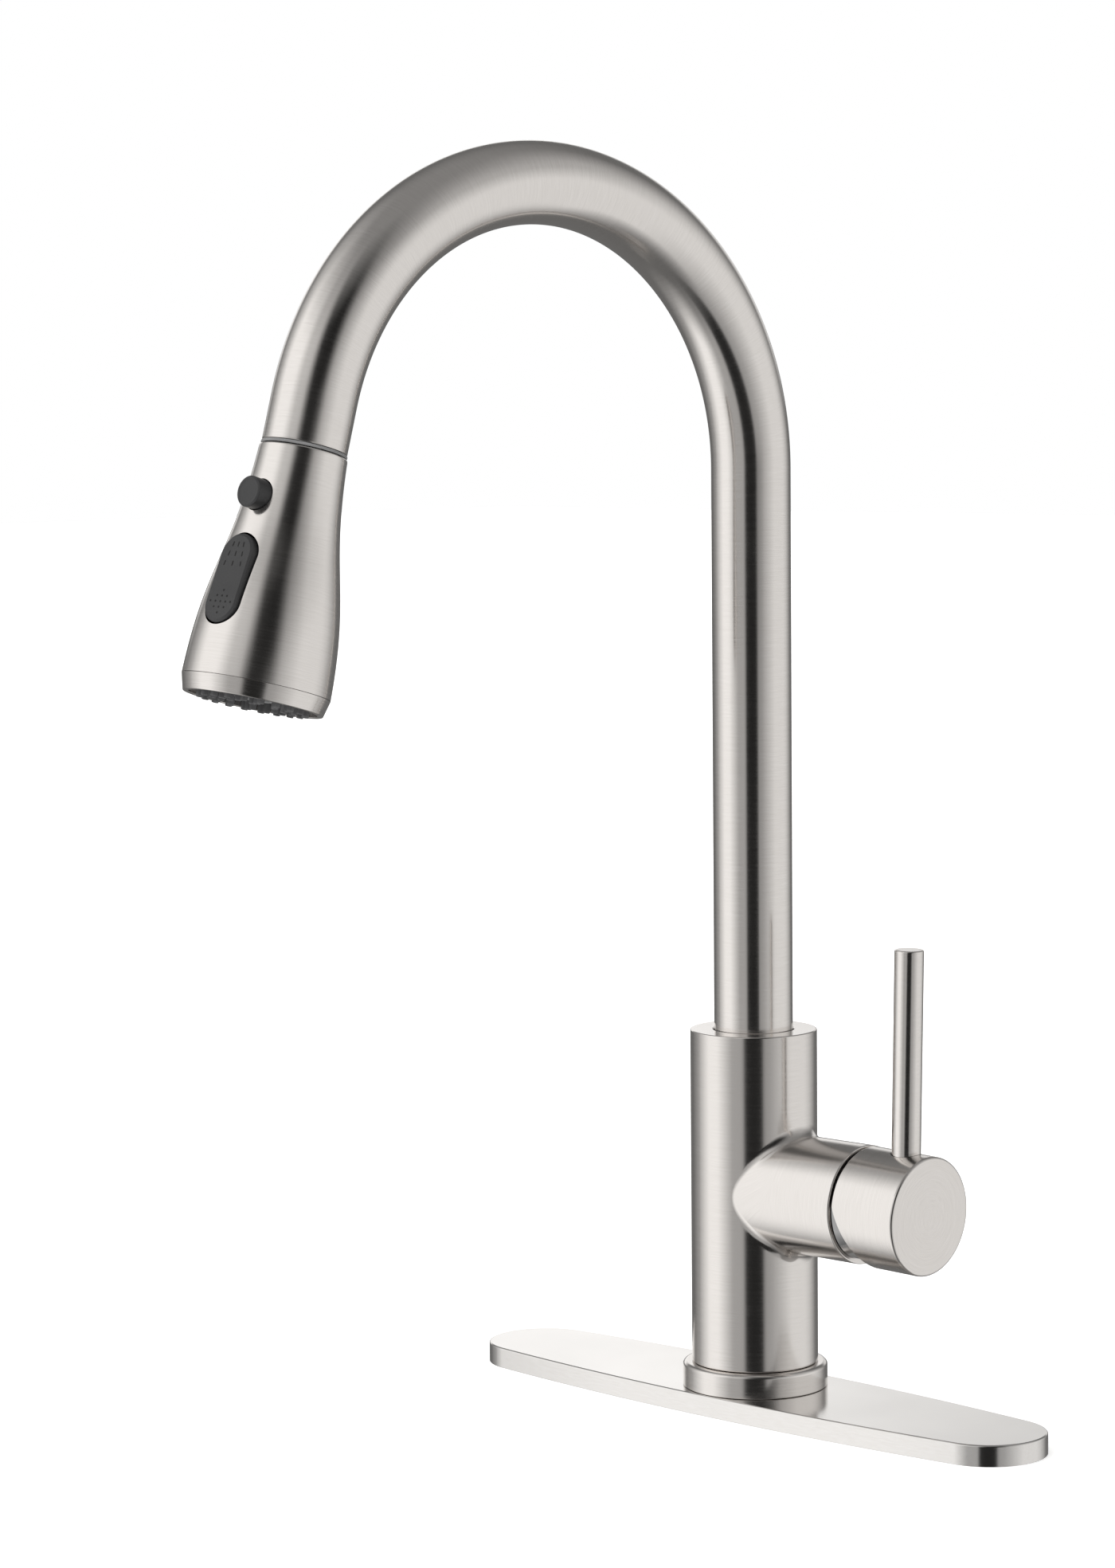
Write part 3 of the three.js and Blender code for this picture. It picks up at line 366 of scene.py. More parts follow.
def mouldedFinish(name, look):
    # a fine grain of small bumps, with the colour a touch uneven between them
    material, tree, shader = newFinish(name, Metallic=0.0)
    fine = grainNoise(tree, (look["grain"],) * 3, 3, "object")
    broad = grainNoise(tree, (60, 60, 60), 2, "object")
    tree.links.new(tinted(tree, ranged(tree, broad, 0, 1), look["deep"], look["pale"]),
                   shader.inputs["Base Color"])
    rough = ranged(tree, fine, look["roughness"] - 0.05, look["roughness"] + 0.06)
    tree.links.new(rough, shader.inputs["Roughness"])
    bump = addNode(tree, "ShaderNodeBump", Strength=look["bump"], Distance=0.00003, Height=fine)
    tree.links.new(bump.outputs[0], shader.inputs["Normal"])
    return material


nickelLook = {"lines": 4.2, "deep": (0.81, 0.778, 0.75), "pale": (0.88, 0.85, 0.825),
              "roughness": 0.165, "spread": 0.03, "bump": 0.2}
finishes = {
    "brushed_nickel": brushedFinish("brushedNickel", nickelLook),
    "polished_steel": brushedFinish("polishedSteel", {**nickelLook, "deep": (0.84, 0.82, 0.80),
                                    "pale": (0.88, 0.865, 0.85), "roughness": 0.13, "bump": 0.05,
                                    "spread": 0.015}),
    "chrome": brushedFinish("chrome", {"lines": 1.0, "deep": (0.86, 0.86, 0.86), "pale": (0.9, 0.9, 0.9),
                            "roughness": 0.06, "spread": 0.01, "bump": 0.02}),
    "brass": brushedFinish("machinedBrass", {"lines": 3.0, "deep": (0.60, 0.44, 0.17),
                           "pale": (0.74, 0.57, 0.26), "roughness": 0.28, "spread": 0.06, "bump": 0.5}),
    "steel": brushedFinish("platedSteel", {"lines": 3.0, "deep": (0.50, 0.49, 0.47),
                           "pale": (0.64, 0.63, 0.61), "roughness": 0.34, "spread": 0.07, "bump": 0.4}),
    "black_plastic": mouldedFinish("charcoalPlastic", {"grain": 2600, "deep": (0.019, 0.019, 0.020),
                                   "pale": (0.025, 0.025, 0.026), "roughness": 0.42, "bump": 0.4}),
    "grey_plastic": mouldedFinish("greyPlastic", {"grain": 2200, "deep": (0.17, 0.17, 0.172),
                                  "pale": (0.22, 0.22, 0.222), "roughness": 0.42, "bump": 0.35}),
    "white_plastic": mouldedFinish("acetal", {"grain": 1800, "deep": (0.74, 0.73, 0.69),
                                   "pale": (0.82, 0.81, 0.78), "roughness": 0.4, "bump": 0.2}),
    "rubber": mouldedFinish("softRubber", {"grain": 2400, "deep": (0.06, 0.06, 0.062),
                            "pale": (0.09, 0.09, 0.092), "roughness": 0.5, "bump": 0.4}),
    "ceramic": mouldedFinish("lappedCeramic", {"grain": 3000, "deep": (0.82, 0.80, 0.76),
                             "pale": (0.9, 0.88, 0.85), "roughness": 0.22, "bump": 0.1}),
    "foam": mouldedFinish("foamSheet", {"grain": 1500, "deep": (0.012, 0.012, 0.013),
                          "pale": (0.03, 0.03, 0.032), "roughness": 0.9, "bump": 1.0}),
    # the marks are near black: painted shade standing in for the shade down in sunken marks, which here
    # stand a touch proud
    "mark": mouldedFinish("markPaintedShade", {"grain": 2600, "deep": (0.004, 0.004, 0.004),
                          "pale": (0.008, 0.008, 0.008), "roughness": 0.7, "bump": 0.2}),
}
print("finishes made:", len(finishes))


braidLook = {"slant": 0.72, "strands": 12.0, "deep": (0.10, 0.105, 0.11), "pale": (0.36, 0.37, 0.38),
             "roughLow": 0.62, "roughHigh": 0.36, "bump": 0.8}


def braidFinish(look):
    # two families of slanting strands cross on the hose's own grain: lengths in mm along, turns round
    material, tree, shader = newFinish("wovenBraid", Metallic=0.1)
    grain = addNode(tree, "ShaderNodeAttribute", {"attribute_name": "grain"}).outputs["Vector"]
    parts = addNode(tree, "ShaderNodeSeparateXYZ", n0=grain).outputs
    waves = []
    for lean in (1, -1):
        slope = addNode(tree, "ShaderNodeMath", {"operation": "MULTIPLY"}, n0=parts[0],
                        n1=look["slant"] * lean)
        phase = addNode(tree, "ShaderNodeMath", {"operation": "MULTIPLY_ADD"}, n0=parts[1],
                        n1=look["strands"], n2=slope.outputs[0])
        waves.append(addNode(tree, "ShaderNodeMath", {"operation": "SINE"}, n0=phase.outputs[0]))
    over = addNode(tree, "ShaderNodeMath", {"operation": "MAXIMUM"}, n0=waves[0].outputs[0],
                   n1=waves[1].outputs[0]).outputs[0]
    tree.links.new(tinted(tree, ranged(tree, over, 0, 1, -0.2, 1), look["deep"], look["pale"]),
                   shader.inputs["Base Color"])
    tree.links.new(ranged(tree, over, look["roughLow"], look["roughHigh"], -0.2, 1),
                   shader.inputs["Roughness"])
    bump = addNode(tree, "ShaderNodeBump", Strength=look["bump"], Distance=0.0003, Height=over)
    tree.links.new(bump.outputs[0], shader.inputs["Normal"])
    return material


finishes["braided_hose"] = braidFinish(braidLook)

# ---- deck plate and its gasket ----


def plateOutline(d, count=560):
    # two wide side arcs run into two end arcs without a corner; angles share out the points by arc
    halfLength, halfWidth, end = d["length"] / 2, d["width"] / 2, d["endRadius"]
    endX = halfLength - end
    side = (endX ** 2 + halfWidth ** 2 - end ** 2) / (2 * (halfWidth - end))
    sideY = side - halfWidth
    lean = math.atan2(endX, sideY)
    quarter = math.pi / 2
    arcs = [(endX, 0, end, lean - quarter, quarter - lean),
            (0, -sideY, side, quarter - lean, quarter + lean),
            (-endX, 0, end, quarter + lean, 3 * quarter - lean),
            (0, sideY, side, 3 * quarter - lean, 3 * quarter + lean)]
    points, normals = [], []
    for x, y, radius, first, last in arcs:
        steps = count // 4
        angle = np.linspace(first, last, steps, endpoint=False)
        normal = np.c_[np.cos(angle), np.sin(angle)]
        points.append(np.array([[x, y]]) + radius * normal)
        normals.append(normal)
    return np.vstack(points), np.vstack(normals)


def plateSurface(d):
    outline, normal = plateOutline(d)
    top, wall = d["height"], d["wall"]
    profile = softened([(wall, top - wall, 0), (wall, 0, 0.15), (0, 0, 0.15), (0, top, d["edge"]),
                        (3, top, 0)], step=1.5)
    rows = [np.c_[outline - inset * normal, 0 * outline[:, :1] + height] for inset, height in profile]
    angle = np.arctan2(outline[:, 1], outline[:, 0])
    hole = d["hole"] * np.c_[np.cos(angle), np.sin(angle)]
    inner = outline - 3 * normal
    for share in (0.33, 0.66, 1.0):
        rows.append(np.c_[inner + (hole - inner) * share, 0 * angle + top])
    rows.append(np.c_[hole, 0 * angle + top - wall])
    return gridSurface(np.array(rows), closedAlong=True)


finishPiece("deck_plate_skin", plateSurface(deck), rowFrame, "base", "polished_steel", ["deck_plate"],
            style="flat")

gasket = {"inset": 1.5, "low": 0, "high": 1.4, "hole": 17.5}


def sheetSurface(d, g):
    outline, normal = plateOutline(d, 240)
    edge = outline - g["inset"] * normal
    angle = np.arctan2(edge[:, 1], edge[:, 0])
    rim = g["hole"] * np.c_[np.cos(angle), np.sin(angle)]
    corners = ((rim, g["low"]), (edge, g["low"]), (edge, g["high"]), (rim, g["high"]))
    rows = [np.c_[flat, 0 * angle + height] for flat, height in corners]
    return gridSurface(np.array(rows), closedAlong=True)


finishPiece("deck_gasket_sheet", sheetSurface(deck, gasket), rowFrame, "base", "foam", ["deck_gasket"],
            style="flat")

# ---- base ring and body ----

ring = {"radius": 25.85, "low": 7.5, "top": 16.1, "inner": 16.6, "edge": 1.5}
body = {"radius": 22.5, "low": 16.2, "top": 135.7, "bore": 19.6, "hole": 14.4, "edge": 0.5, "foot": 15.9,
        "branch": 20.84, "collar": 34, "end": 51.9, "branchBore": 17.94, "blend": 4.5,
        "footRise": 6, "roof": 6.4, "mouthEdge": 0.35}

baseRing = turnedRing([(ring["inner"], ring["low"], 0.2), (ring["radius"], ring["low"], 0.35),
                       (ring["radius"], ring["top"], ring["edge"]), (ring["inner"], ring["top"], 0.2)],
                      sides=192)
finishPiece("base_ring_skin", baseRing, rowFrame, "base", "brushed_nickel", ["base_ring"])


def branchSurface(b, columns=200, arcSteps=12):
    # a ball rolled round the joint of two crossing cylinders: u runs round the branch, and v from the
    # middle of its end, out along its skin, over the ball and into the body
    angle = np.linspace(0, fullTurn, columns, endpoint=False)
    across, up = np.cos(angle), np.sin(angle)
    r, blend, sink = b["branch"], b["blend"], 0.02
    ballY, ballZ = (r + blend) * across, (r + blend) * up
    ballX = np.sqrt((b["radius"] + blend) ** 2 - ballY ** 2)
    ball = np.c_[ballX, ballY, ballZ]
    toBranch = np.c_[0 * across, -across, -up]
    toBody = np.c_[-ballX, -ballY, 0 * up] / np.hypot(ballX, ballY)[:, None]
    between = np.arccos((toBranch * toBody).sum(1))[:, None]
    corners = [(0, b["end"], 0), (r, b["end"], b["edge"]), (r, b["collar"], 0)]
    rows = [np.c_[0 * across + x, rr * across, rr * up] for rr, x in softened(corners, step=1.2)]
    start = ballX[:, None] + 0.05
    for share in np.linspace(0, 1, 8)[1:]:
        rows.append(np.c_[b["collar"] + (start - b["collar"]) * share, r * across, r * up])
    for share in np.linspace(0, 1, arcSteps):
        outward = np.sin((1 - share) * between) * toBranch + np.sin(share * between) * toBody
        rows.append(ball + outward / np.sin(between) * (blend + sink * share))
    rows.append(ball * [0.6, 0.8, 0.8])
    rows.append(ball * [0, 0, 0])
    return gridSurface(np.array(rows))


def bodySkin(b):
    shoulder, roof, edge = b["low"] + b["footRise"], b["top"] - b["roof"], b["mouthEdge"]
    upright = turnedSolid([(b["radius"], b["low"], b["edge"]), (b["radius"], b["top"], b["edge"])],
                          sides=160, step=1.6)
    branch = atPlace(branchSurface(b), valveFrame)
    inside = turnedSolid([(b["foot"], b["low"] - 2, 0), (b["foot"], shoulder, 0),
                          (b["bore"], shoulder, 0), (b["bore"], roof, 0),
                          (b["hole"], roof, 0), (b["hole"], b["top"] - edge, 0),
                          (b["hole"] + edge, b["top"], 0), (b["hole"] + edge, b["top"] + 2, 0)],
                         sides=128, step=8)
    bore = turnedSolid([(b["branchBore"], 0, 0), (b["branchBore"], b["end"] + 2, 0)], sides=128, step=8)
    whole = combined("UNION", upright, branch)
    mesh = combined("DIFFERENCE", whole, inside, atPlace(bore, valveFrame @ alongX))
    mesh.transform(Matrix.Translation((0, 0, -valve["height"])))
    return mesh


finishPiece("body_skin", bodySkin(body), valveFrame, "base", "brushed_nickel", ["body"], style="branched",
            sharp=28)
print("body made")

# ---- dome, hub and lever ----

hub = {"start": 53.0, "length": 27.2, "radius": 20.76, "edge": 1.1, "cavity": 16.0, "floor": 66.0,
       "relief": 22, "reliefTop": 3.4, "sweep": 21.3, "setback": 10.9, "plug": 3.2, "plugTop": -16.8,
       "screw": 2.4, "slot": (3.5, 3.3), "slotEnd": 73.3}
lever = {"radius": 5.085, "foot": 7.0, "top": 91.6, "edge": 0.55, "socket": 5.35}
dome = {"radius": 20.9, "wall": 1.6, "mouth": 12.5, "skirt": 17.64, "skirtStart": 46.3, "flange": 52.2}


def sphereProfile(middle, radius, fromRadius, toRadius, steps):
    angle = np.linspace(math.asin(fromRadius / radius), math.asin(toRadius / radius), steps)
    return np.c_[radius * np.sin(angle), middle + radius * np.cos(angle)]


def domeSurface(d):
    pivot = valve["pivot"]
    flange = math.sqrt(d["radius"] ** 2 - (d["flange"] - pivot) ** 2)
    inner = d["radius"] - d["wall"]
    profile = np.vstack([[[d["skirt"] - d["wall"], d["skirtStart"]], [d["skirt"], d["skirtStart"]],
                          [d["skirt"], d["flange"]]],
                         sphereProfile(pivot, d["radius"], flange, d["mouth"], 24),
                         sphereProfile(pivot, inner, d["mouth"], d["skirt"] - d["wall"], 10)])
    return turnedSurface(profile, 160, closed=True)


finishPiece("trim_dome_skin", domeSurface(dome), valveFrame @ alongX, "base", "chrome", ["trim_dome"])


def wedgeSurface(outline, halfWidth):
    # an outline in X and Z, carried along Y and closed at its middle on both ends
    middle = outline.mean(0)
    ends = ((0 * outline + middle, -halfWidth), (outline, -halfWidth), (outline, halfWidth),
            (0 * outline + middle, halfWidth))
    return gridSurface(np.array([np.c_[flat[:, 0], 0 * flat[:, 0] + y, flat[:, 1]] for flat, y in ends]))


def hubSkin(h):
    end = h["start"] + h["length"]
    blank = turnedSolid([(h["radius"], h["start"], 0.5), (h["radius"], end, h["edge"])],
                        sides=200, step=1.2)
    mouth = math.sqrt(h["sweep"] ** 2 - (h["start"] - valve["pivot"]) ** 2)
    hollow = np.vstack([[[0, h["start"] - 1], [mouth, h["start"] - 1]],
                        sphereProfile(valve["pivot"], h["sweep"], mouth, h["cavity"], 12),
                        [[h["cavity"], h["floor"]], [0, h["floor"]]]])
    down = math.radians(h["relief"])
    reach = 40  # past the hub's underside
    under = np.array([[h["start"] - 3, h["reliefTop"]], [h["start"], h["reliefTop"]],
                      [h["start"] + reach * math.sin(down), h["reliefTop"] - reach * math.cos(down)],
                      [h["start"] - 3, h["reliefTop"] - reach]])
    slotY, slotZ = h["slot"]
    holes = [(lever["socket"], 6.7, 24, 96), (h["screw"] + 0.3, -19, 0, 48),
             (h["plug"] + 0.2, -24, h["plugTop"], 64)]
    tools = [atPlace(turnedSurface(hollow, 128), alongX), wedgeSurface(under, 30),
             boxSurface((h["floor"] - 1, -slotY, -slotZ), (h["slotEnd"], slotY, slotZ))]
    for radius, low, high, sides in holes:
        hole = turnedSolid([(radius, low, 0), (radius, high, 0)], sides)
        tools.append(atPlace(hole, moved(end - h["setback"], 0, 0)))
    return combined("DIFFERENCE", atPlace(blank, alongX), *tools)


def grainAlongX(surface, name, *rest, **more):
    # shaped along X, so it is turned upright for its grain and back again for its place
    surface.transform(Matrix(np.linalg.inv(alongX)))
    return finishPiece(name, surface, rest[0] @ alongX, *rest[1:], **more)


grainAlongX(hubSkin(hub), "handle_hub_skin", handleFrame, "handle", "brushed_nickel", ["handle_hub"],
            sharp=30)
leverFrame = handleFrame @ moved(hub["start"] + hub["length"] - hub["setback"], 0, 0)
leverRod = turnedSolid([(lever["radius"], lever["foot"], 0.2),
                        (lever["radius"], lever["top"], lever["edge"])], sides=96, step=3)
finishPiece("lever_rod", leverRod, leverFrame, "handle", "brushed_nickel", ["lever"])
plugFace = -math.sqrt(hub["radius"] ** 2 - hub["plug"] ** 2) + 0.1
plugDisc = turnedSolid([(hub["plug"], plugFace, 0.3), (hub["plug"], hub["plugTop"] - 0.1, 0)], 64)
finishPiece("hub_plug_disc", plugDisc, leverFrame, "handle", "grey_plastic", ["hub_plug"])

# ---- spout ----


def spoutPath(along):
    # straight up, round the arch, and straight on down; returns the centres and how far they have turned
    leg = spout["legTop"] - spout["foot"]
    turn = np.clip((along - leg) / spout["arch"], 0, bend)
    past = np.maximum(along - leg - spout["arch"] * bend, 0)
    under = np.minimum(along - leg, 0)
    y = spout["arch"] * (np.cos(turn) - 1) - past * np.sin(turn)
    z = spout["legTop"] + spout["arch"] * np.sin(turn) + past * np.cos(turn) + under
    return np.c_[0 * y, y, z], turn


def pathSurface(along, radius, sides, closed=False):
    # rings square to the path: across it by X, and in its own plane by the turned normal
    centre, turn = spoutPath(along)
    angle = np.linspace(0, fullTurn, sides, endpoint=False)
    normal = np.c_[0 * turn, np.cos(turn), np.sin(turn)]
    rim = (np.cos(angle)[None, :, None] * np.array([1, 0, 0])
           + np.sin(angle)[None, :, None] * normal[:, None])
    grain = np.stack([along[:, None] + 0 * angle, 0 * along[:, None] + np.cos(angle) * 2,
                      0 * along[:, None] + np.sin(angle) * 2], -1)
    surface = gridSurface(centre[:, None] + rim * radius[:, None, None], closedAlong=closed)
    return surface, grain.reshape(-1, 3)


pathLength = spout["legTop"] - spout["foot"] + spout["arch"] * bend + spout["tip"]
steps = np.r_[0, 0.12, np.linspace(0.6, pathLength - 0.6, 330), pathLength - np.array([0.3, 0.1, 0])]
outer = np.full(len(steps), spout["radius"])
outer[[0, -1]] -= 0.3
outer[-2] -= 0.12
back = np.linspace(pathLength, 0, 120)
inner = np.full(len(back), spout["radius"] - spout["wall"])
tubeSurface, tubeGrain = pathSurface(np.r_[steps, back], np.r_[outer, inner], 112, closed=True)
finishPiece("spout_tube_skin", tubeSurface, spoutFrame, "spout", "brushed_nickel", ["spout_tube"],
            style="path", path=tubeGrain)

dockInner = spout["radius"] - spout["wall"] - dock["gap"]
dockRing = turnedRing([(dockInner - dock["wall"], 0, 0.3), (spout["radius"] + dock["proud"], 0, 0.4),
                       (spout["radius"] + dock["proud"], dock["lip"], 0.4), (dockInner, dock["lip"], 0),
                       (dockInner, dock["lip"] + dock["depth"], 0.3),
                       (dockInner - dock["wall"], dock["lip"] + dock["depth"], 0.5)], 128)
finishPiece("dock_insert_ring", dockRing, dockFrame, "spout", "grey_plastic", ["dock_insert"])
print("spout made")

# ---- wand ----

faceRing = {"length": 5.4, "taper": 1.4, "recess": 2.5, "skirt": 22.55, "wall": 1.5, "step": 0.6,
            "rise": 5.7, "gap": 0.3, "seam": 0.12}


def wandSide(w, count=120):
    # one cubic curve from the wand's top edge out to the face ring: a neck, an S-shaped flare, a skirt
    t = np.linspace(0, 1, count)[:, None]
    a = np.array([spout["radius"] + w["proud"], w["top"]])
    b = np.array([spout["radius"] + w["neckOut"], w["top"] - w["neckDown"] * w["length"]])
    c = np.array([w["radius"] - w["flareIn"], w["top"] - w["flareDown"] * w["length"]])
    d = np.array([w["radius"], w["top"] - w["length"]])
    return (1 - t) ** 3 * a + 3 * t * (1 - t) ** 2 * b + 3 * t ** 2 * (1 - t) * c + t ** 3 * d


def stadium(halfWidth, halfLength, arcSteps=48, sideSteps=13):
    # up the right side, round the top, down the left side and round the bottom
    straight = halfLength - halfWidth
    angle = np.linspace(0, math.pi, arcSteps)
    side = np.linspace(-straight, straight, sideSteps)[1:-1]
    cap = np.c_[np.cos(angle), np.sin(angle)]
    edge = np.tile([1.0, 0.0], (len(side), 1))
    half = np.vstack([np.c_[halfWidth + 0 * side, side], halfWidth * cap + [0, straight]])
    halfNormal = np.vstack([edge, cap])
    return np.vstack([half, -half]), np.vstack([halfNormal, -halfNormal])


def wandSkin(w):
    side = wandSide(w)
    inside = side - [w["wall"], 0]
    mouth = dockInner - dock["wall"]
    roof = w["top"] - w["roof"]
    inside = inside[inside[:, 1] < roof]
    rim = side[0]
    turn = np.linspace(0, math.pi / 2, 7)[:, None]
    edge = rim + w["topEdge"] * (np.c_[np.sin(turn), np.cos(turn)] - 1)
    down = np.array([0, faceRing["gap"] - faceRing["seam"]])
    below = side[side[:, 1] < w["top"] - w["topEdge"] - 0.1]
    profile = np.vstack([[[mouth, w["top"]], rim - [w["topEdge"] + 0.12, 0]], edge, below,
                         [side[-1] - down, inside[-1] - down], inside[::-1],
                         [[inside[0, 0], roof], [mouth, roof]]])
    shell = turnedSurface(profile, 176, closed=True)
    bore = button["radius"] + button["gap"]
    hole = turnedSolid([(bore, 0, 0), (bore, 40, 0)])
    outline, normal = stadium(rocker["halfWidth"] + rocker["gap"], rocker["halfLength"] + rocker["gap"])
    inset, depth = rocker["halfWidth"] + rocker["gap"] - 0.05, 12
    well = outlineSurface(outline, normal, np.array([[inset, -depth], [0, -depth], [0, depth],
                                                     [inset, depth]]))
    toWand = np.linalg.inv(wandFrame)
    return combined("DIFFERENCE", shell, atPlace(hole, toWand @ buttonFrame),
                    atPlace(well, toWand @ rockerFrame))


finishPiece("wand_shell_skin", wandSkin(wand), wandFrame, "wand", "brushed_nickel", ["wand_shell"],
            sharp=30)
wandBottom = wand["top"] - wand["length"]
faceTop = wandBottom - faceRing["gap"]
faceBottom = faceTop - faceRing["length"]
skirtTop = wandBottom + faceRing["rise"]
skirtInner, skirtOuter = faceRing["skirt"] - faceRing["wall"], faceRing["skirt"] - faceRing["step"]
ringFace = turnedRing([(skirtInner, faceBottom, 0.3),
                       (wand["radius"] - faceRing["taper"], faceBottom, 0.35),
                       (wand["radius"] - 0.02, faceTop, 0.1), (skirtOuter, faceTop, 0),
                       (skirtOuter, skirtTop, 0.2), (skirtInner, skirtTop, 0.2)], sides=176, step=1.5)
finishPiece("face_ring_skin", ringFace, wandFrame, "wand", "brushed_nickel", ["face_ring"])

nozzles = {"rings": [(17.4, 20), (13.7, 14), (10.2, 8)], "root": 1.3, "tip": 1.15, "hole": 0.5,
           "length": 3.5, "holeDepth": 1.4, "pad": 20.75, "bore": 6.9, "thickness": 2.0}


def nozzleSurfaces(n, face):
    # each nozzle is a small tapered nub with a round lip and a hole in it
    lip = face - n["length"]
    side = softened([(0, face + 0.5, 0), (n["root"] + 0.1, face + 0.5, 0), (n["root"], face, 0),
                     (n["tip"], lip, 0.25), (n["hole"], lip, 0.1),
                     (n["hole"], lip + n["holeDepth"], 0), (0, lip + n["holeDepth"], 0)],
                    arcSteps=3, step=9)
    one = turnedSurface(side, 20)
    return [atPlace(one, moved(radius * math.cos(a), radius * math.sin(a), 0))
            for row, (radius, count) in enumerate(n["rings"])
            for a in (np.arange(count) + 0.5 * row) / count * fullTurn]


padFace = faceBottom + faceRing["recess"]
padDisc = turnedRing([(nozzles["bore"], padFace, 0.2), (nozzles["pad"], padFace, 0.2),
                      (nozzles["pad"], padFace + nozzles["thickness"], 0),
                      (nozzles["bore"], padFace + nozzles["thickness"], 0)], 96, 2)
finishPiece("nozzle_pad_face", together([padDisc, *nozzleSurfaces(nozzles, padFace)]), wandFrame, "wand",
            "rubber", ["nozzle_pad"])

aerator = {"radius": 6.6, "wall": 1.2, "pitch": 1.2, "bars": 9, "bar": 0.16}


def aeratorSurface(d, face):
    # a collar round a screen of crossed bars, the second layer laid half into the first
    radius, bar = d["radius"], d["bar"]
    collar = turnedRing([(radius - d["wall"], face - 1, 0.3), (radius, face - 1, 0.3),
                         (radius, face + 2, 0), (radius - d["wall"], face + 2, 0)], 64)
    bars = []
    for place in (np.arange(d["bars"]) - (d["bars"] - 1) / 2) * d["pitch"]:
        half = math.sqrt((radius - 0.8) ** 2 - place ** 2)
        bars.append(boxSurface((place - bar, -half, face + 0.3), (place + bar, half, face + 0.75)))
        bars.append(boxSurface((-half, place - bar, face + 0.6), (half, place + bar, face + 1.05)))
    return together([collar, *bars])


finishPiece("aerator_screen", aeratorSurface(aerator, padFace), wandFrame, "wand", "grey_plastic",
            ["aerator"])
print("wand made")

# ---- button and rocker ----

buttonCap = turnedSolid([(button["flange"], button["foot"], 0.2),
                         (button["flange"], button["flangeTop"], 0.1),
                         (button["radius"], button["flangeTop"], 0.1),
                         (button["radius"], button["reach"] - 0.35, 0.25),
                         (button["radius"] - 0.75, button["reach"], 0.3),
                         (button["radius"] - 1.5, button["reach"] - 0.12, 0.6)], sides=96, step=0.8)
finishPiece("pause_button_cap", buttonCap, buttonFrame, "pause_key", "black_plastic", ["pause_button"])

spring = {"radius": 2.6, "wire": 0.35, "turns": 4, "clear": 0.1, "travel": 1.8}


def springSurface(d, low, high):
    # a wire wound about Z between two heights, its ends drawn to a point
    share = np.linspace(0, 1, d["turns"] * 28 + 1)
    lift = d["wire"] + d["clear"]
    turn = share * d["turns"] * fullTurn
    outward = np.c_[np.cos(turn), np.sin(turn), 0 * turn]
    centre = d["radius"] * outward + np.outer(low + lift + (high - low - 2 * lift) * share, [0, 0, 1])
    angle = np.linspace(0, fullTurn, 12, endpoint=False)
    thick = np.full(len(share), d["wire"])
    thick[[0, -1]] = 0.01
    rim = (np.cos(angle)[None, :, None] * outward[:, None]
           + np.sin(angle)[None, :, None] * np.array([0, 0, 1]))
    return gridSurface(centre[:, None] + rim * thick[:, None, None])


coil = finishPiece("pause_spring_coil", springSurface(spring, button["pocket"], button["foot"]),
                   buttonFrame, "wand", "steel", ["pause_spring"])
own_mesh(coil)


def rockerSkin(r):
    # a stadium whose face has a wide soft bevel all round, with a rib, a tail and two notches behind
    outline, normal = stadium(r["halfWidth"], r["halfLength"])
    profile = softened([(r["halfWidth"], -r["thickness"], 0), (0, -r["thickness"], 0.3), (0, -0.55, 0.3),
                        (0.95, 0, 0.35), (r["halfWidth"], 0, 0)], step=0.9)
    slab = outlineSurface(outline, normal, profile)
    rib = boxSurface((-2.9, -3, -6.8), (2.9, 3, r["sink"]))
    tail = boxSurface((-1.2, -1, -19), (1.2, 1, r["sink"]))
    inner, outer = r["notch"]
    notches = [boxSurface((x, -3.5, -5.8), (x + outer - inner, 3.5, -1.8)) for x in (inner, -outer)]
    pin = turnedSolid([(r["pin"], -10, 0), (r["pin"], 10, 0)], 32)
    return combined("DIFFERENCE", combined("UNION", slab, rib, tail), *notches,
                    atPlace(pin, moved(0, 0, r["pinDown"]) @ alongX))


finishPiece("mode_rocker_paddle", rockerSkin(rocker), rockerFrame, "mode_key", "black_plastic",
            ["mode_rocker"], sharp=40)

marks = {"rows": [(11.2, 2.3), (8.0, 2.95), (4.7, 3.6)], "dash": 1.75, "width": 0.46, "dots": -8.2,
         "across": 2.25, "along": 1.9, "dot": 0.36, "rise": 0.03}


def markSurfaces(m):
    # three rows of three dashes that fan out, and a diamond of thirteen dots, set a touch proud of the
    # rocker; their near-black finish is painted shade in place of a recess
    shapes = []
    outline, normal = stadium(m["width"] / 2, m["dash"] / 2, 10, 3)
    bar = outlineSurface(outline, normal, np.array([[m["width"] / 2, -0.2], [0, -0.2], [0, m["rise"]],
                                                    [m["width"] / 2, m["rise"]]]))
    for y, pitch in m["rows"]:
        for side in (-1, 0, 1):
            shapes.append(atPlace(bar, moved(side * pitch, y, 0) @ turnedAbout("Z", side * 9)))
    dot = turnedSolid([(m["dot"], -0.2, 0), (m["dot"], m["rise"], 0)], 16)
    for a in range(-2, 3):
        for b in range(-2, 3):
            if abs(a) + abs(b) <= 2:
                shapes.append(atPlace(dot, moved(a * m["across"], m["dots"] + b * m["along"], 0)))
    return together(shapes)


finishPiece("rocker_marks", markSurfaces(marks), rockerFrame, "mode_key", "mark")
print("controls made")

# ---- hose ----

hose = {"radius": 5.0, "foot": -62.0, "slack": 26.0, "draw": 250.0, "sides": 40}
hoseEnd = pathLength - spout["tip"]
hoseJoin = hoseEnd - hose["slack"]


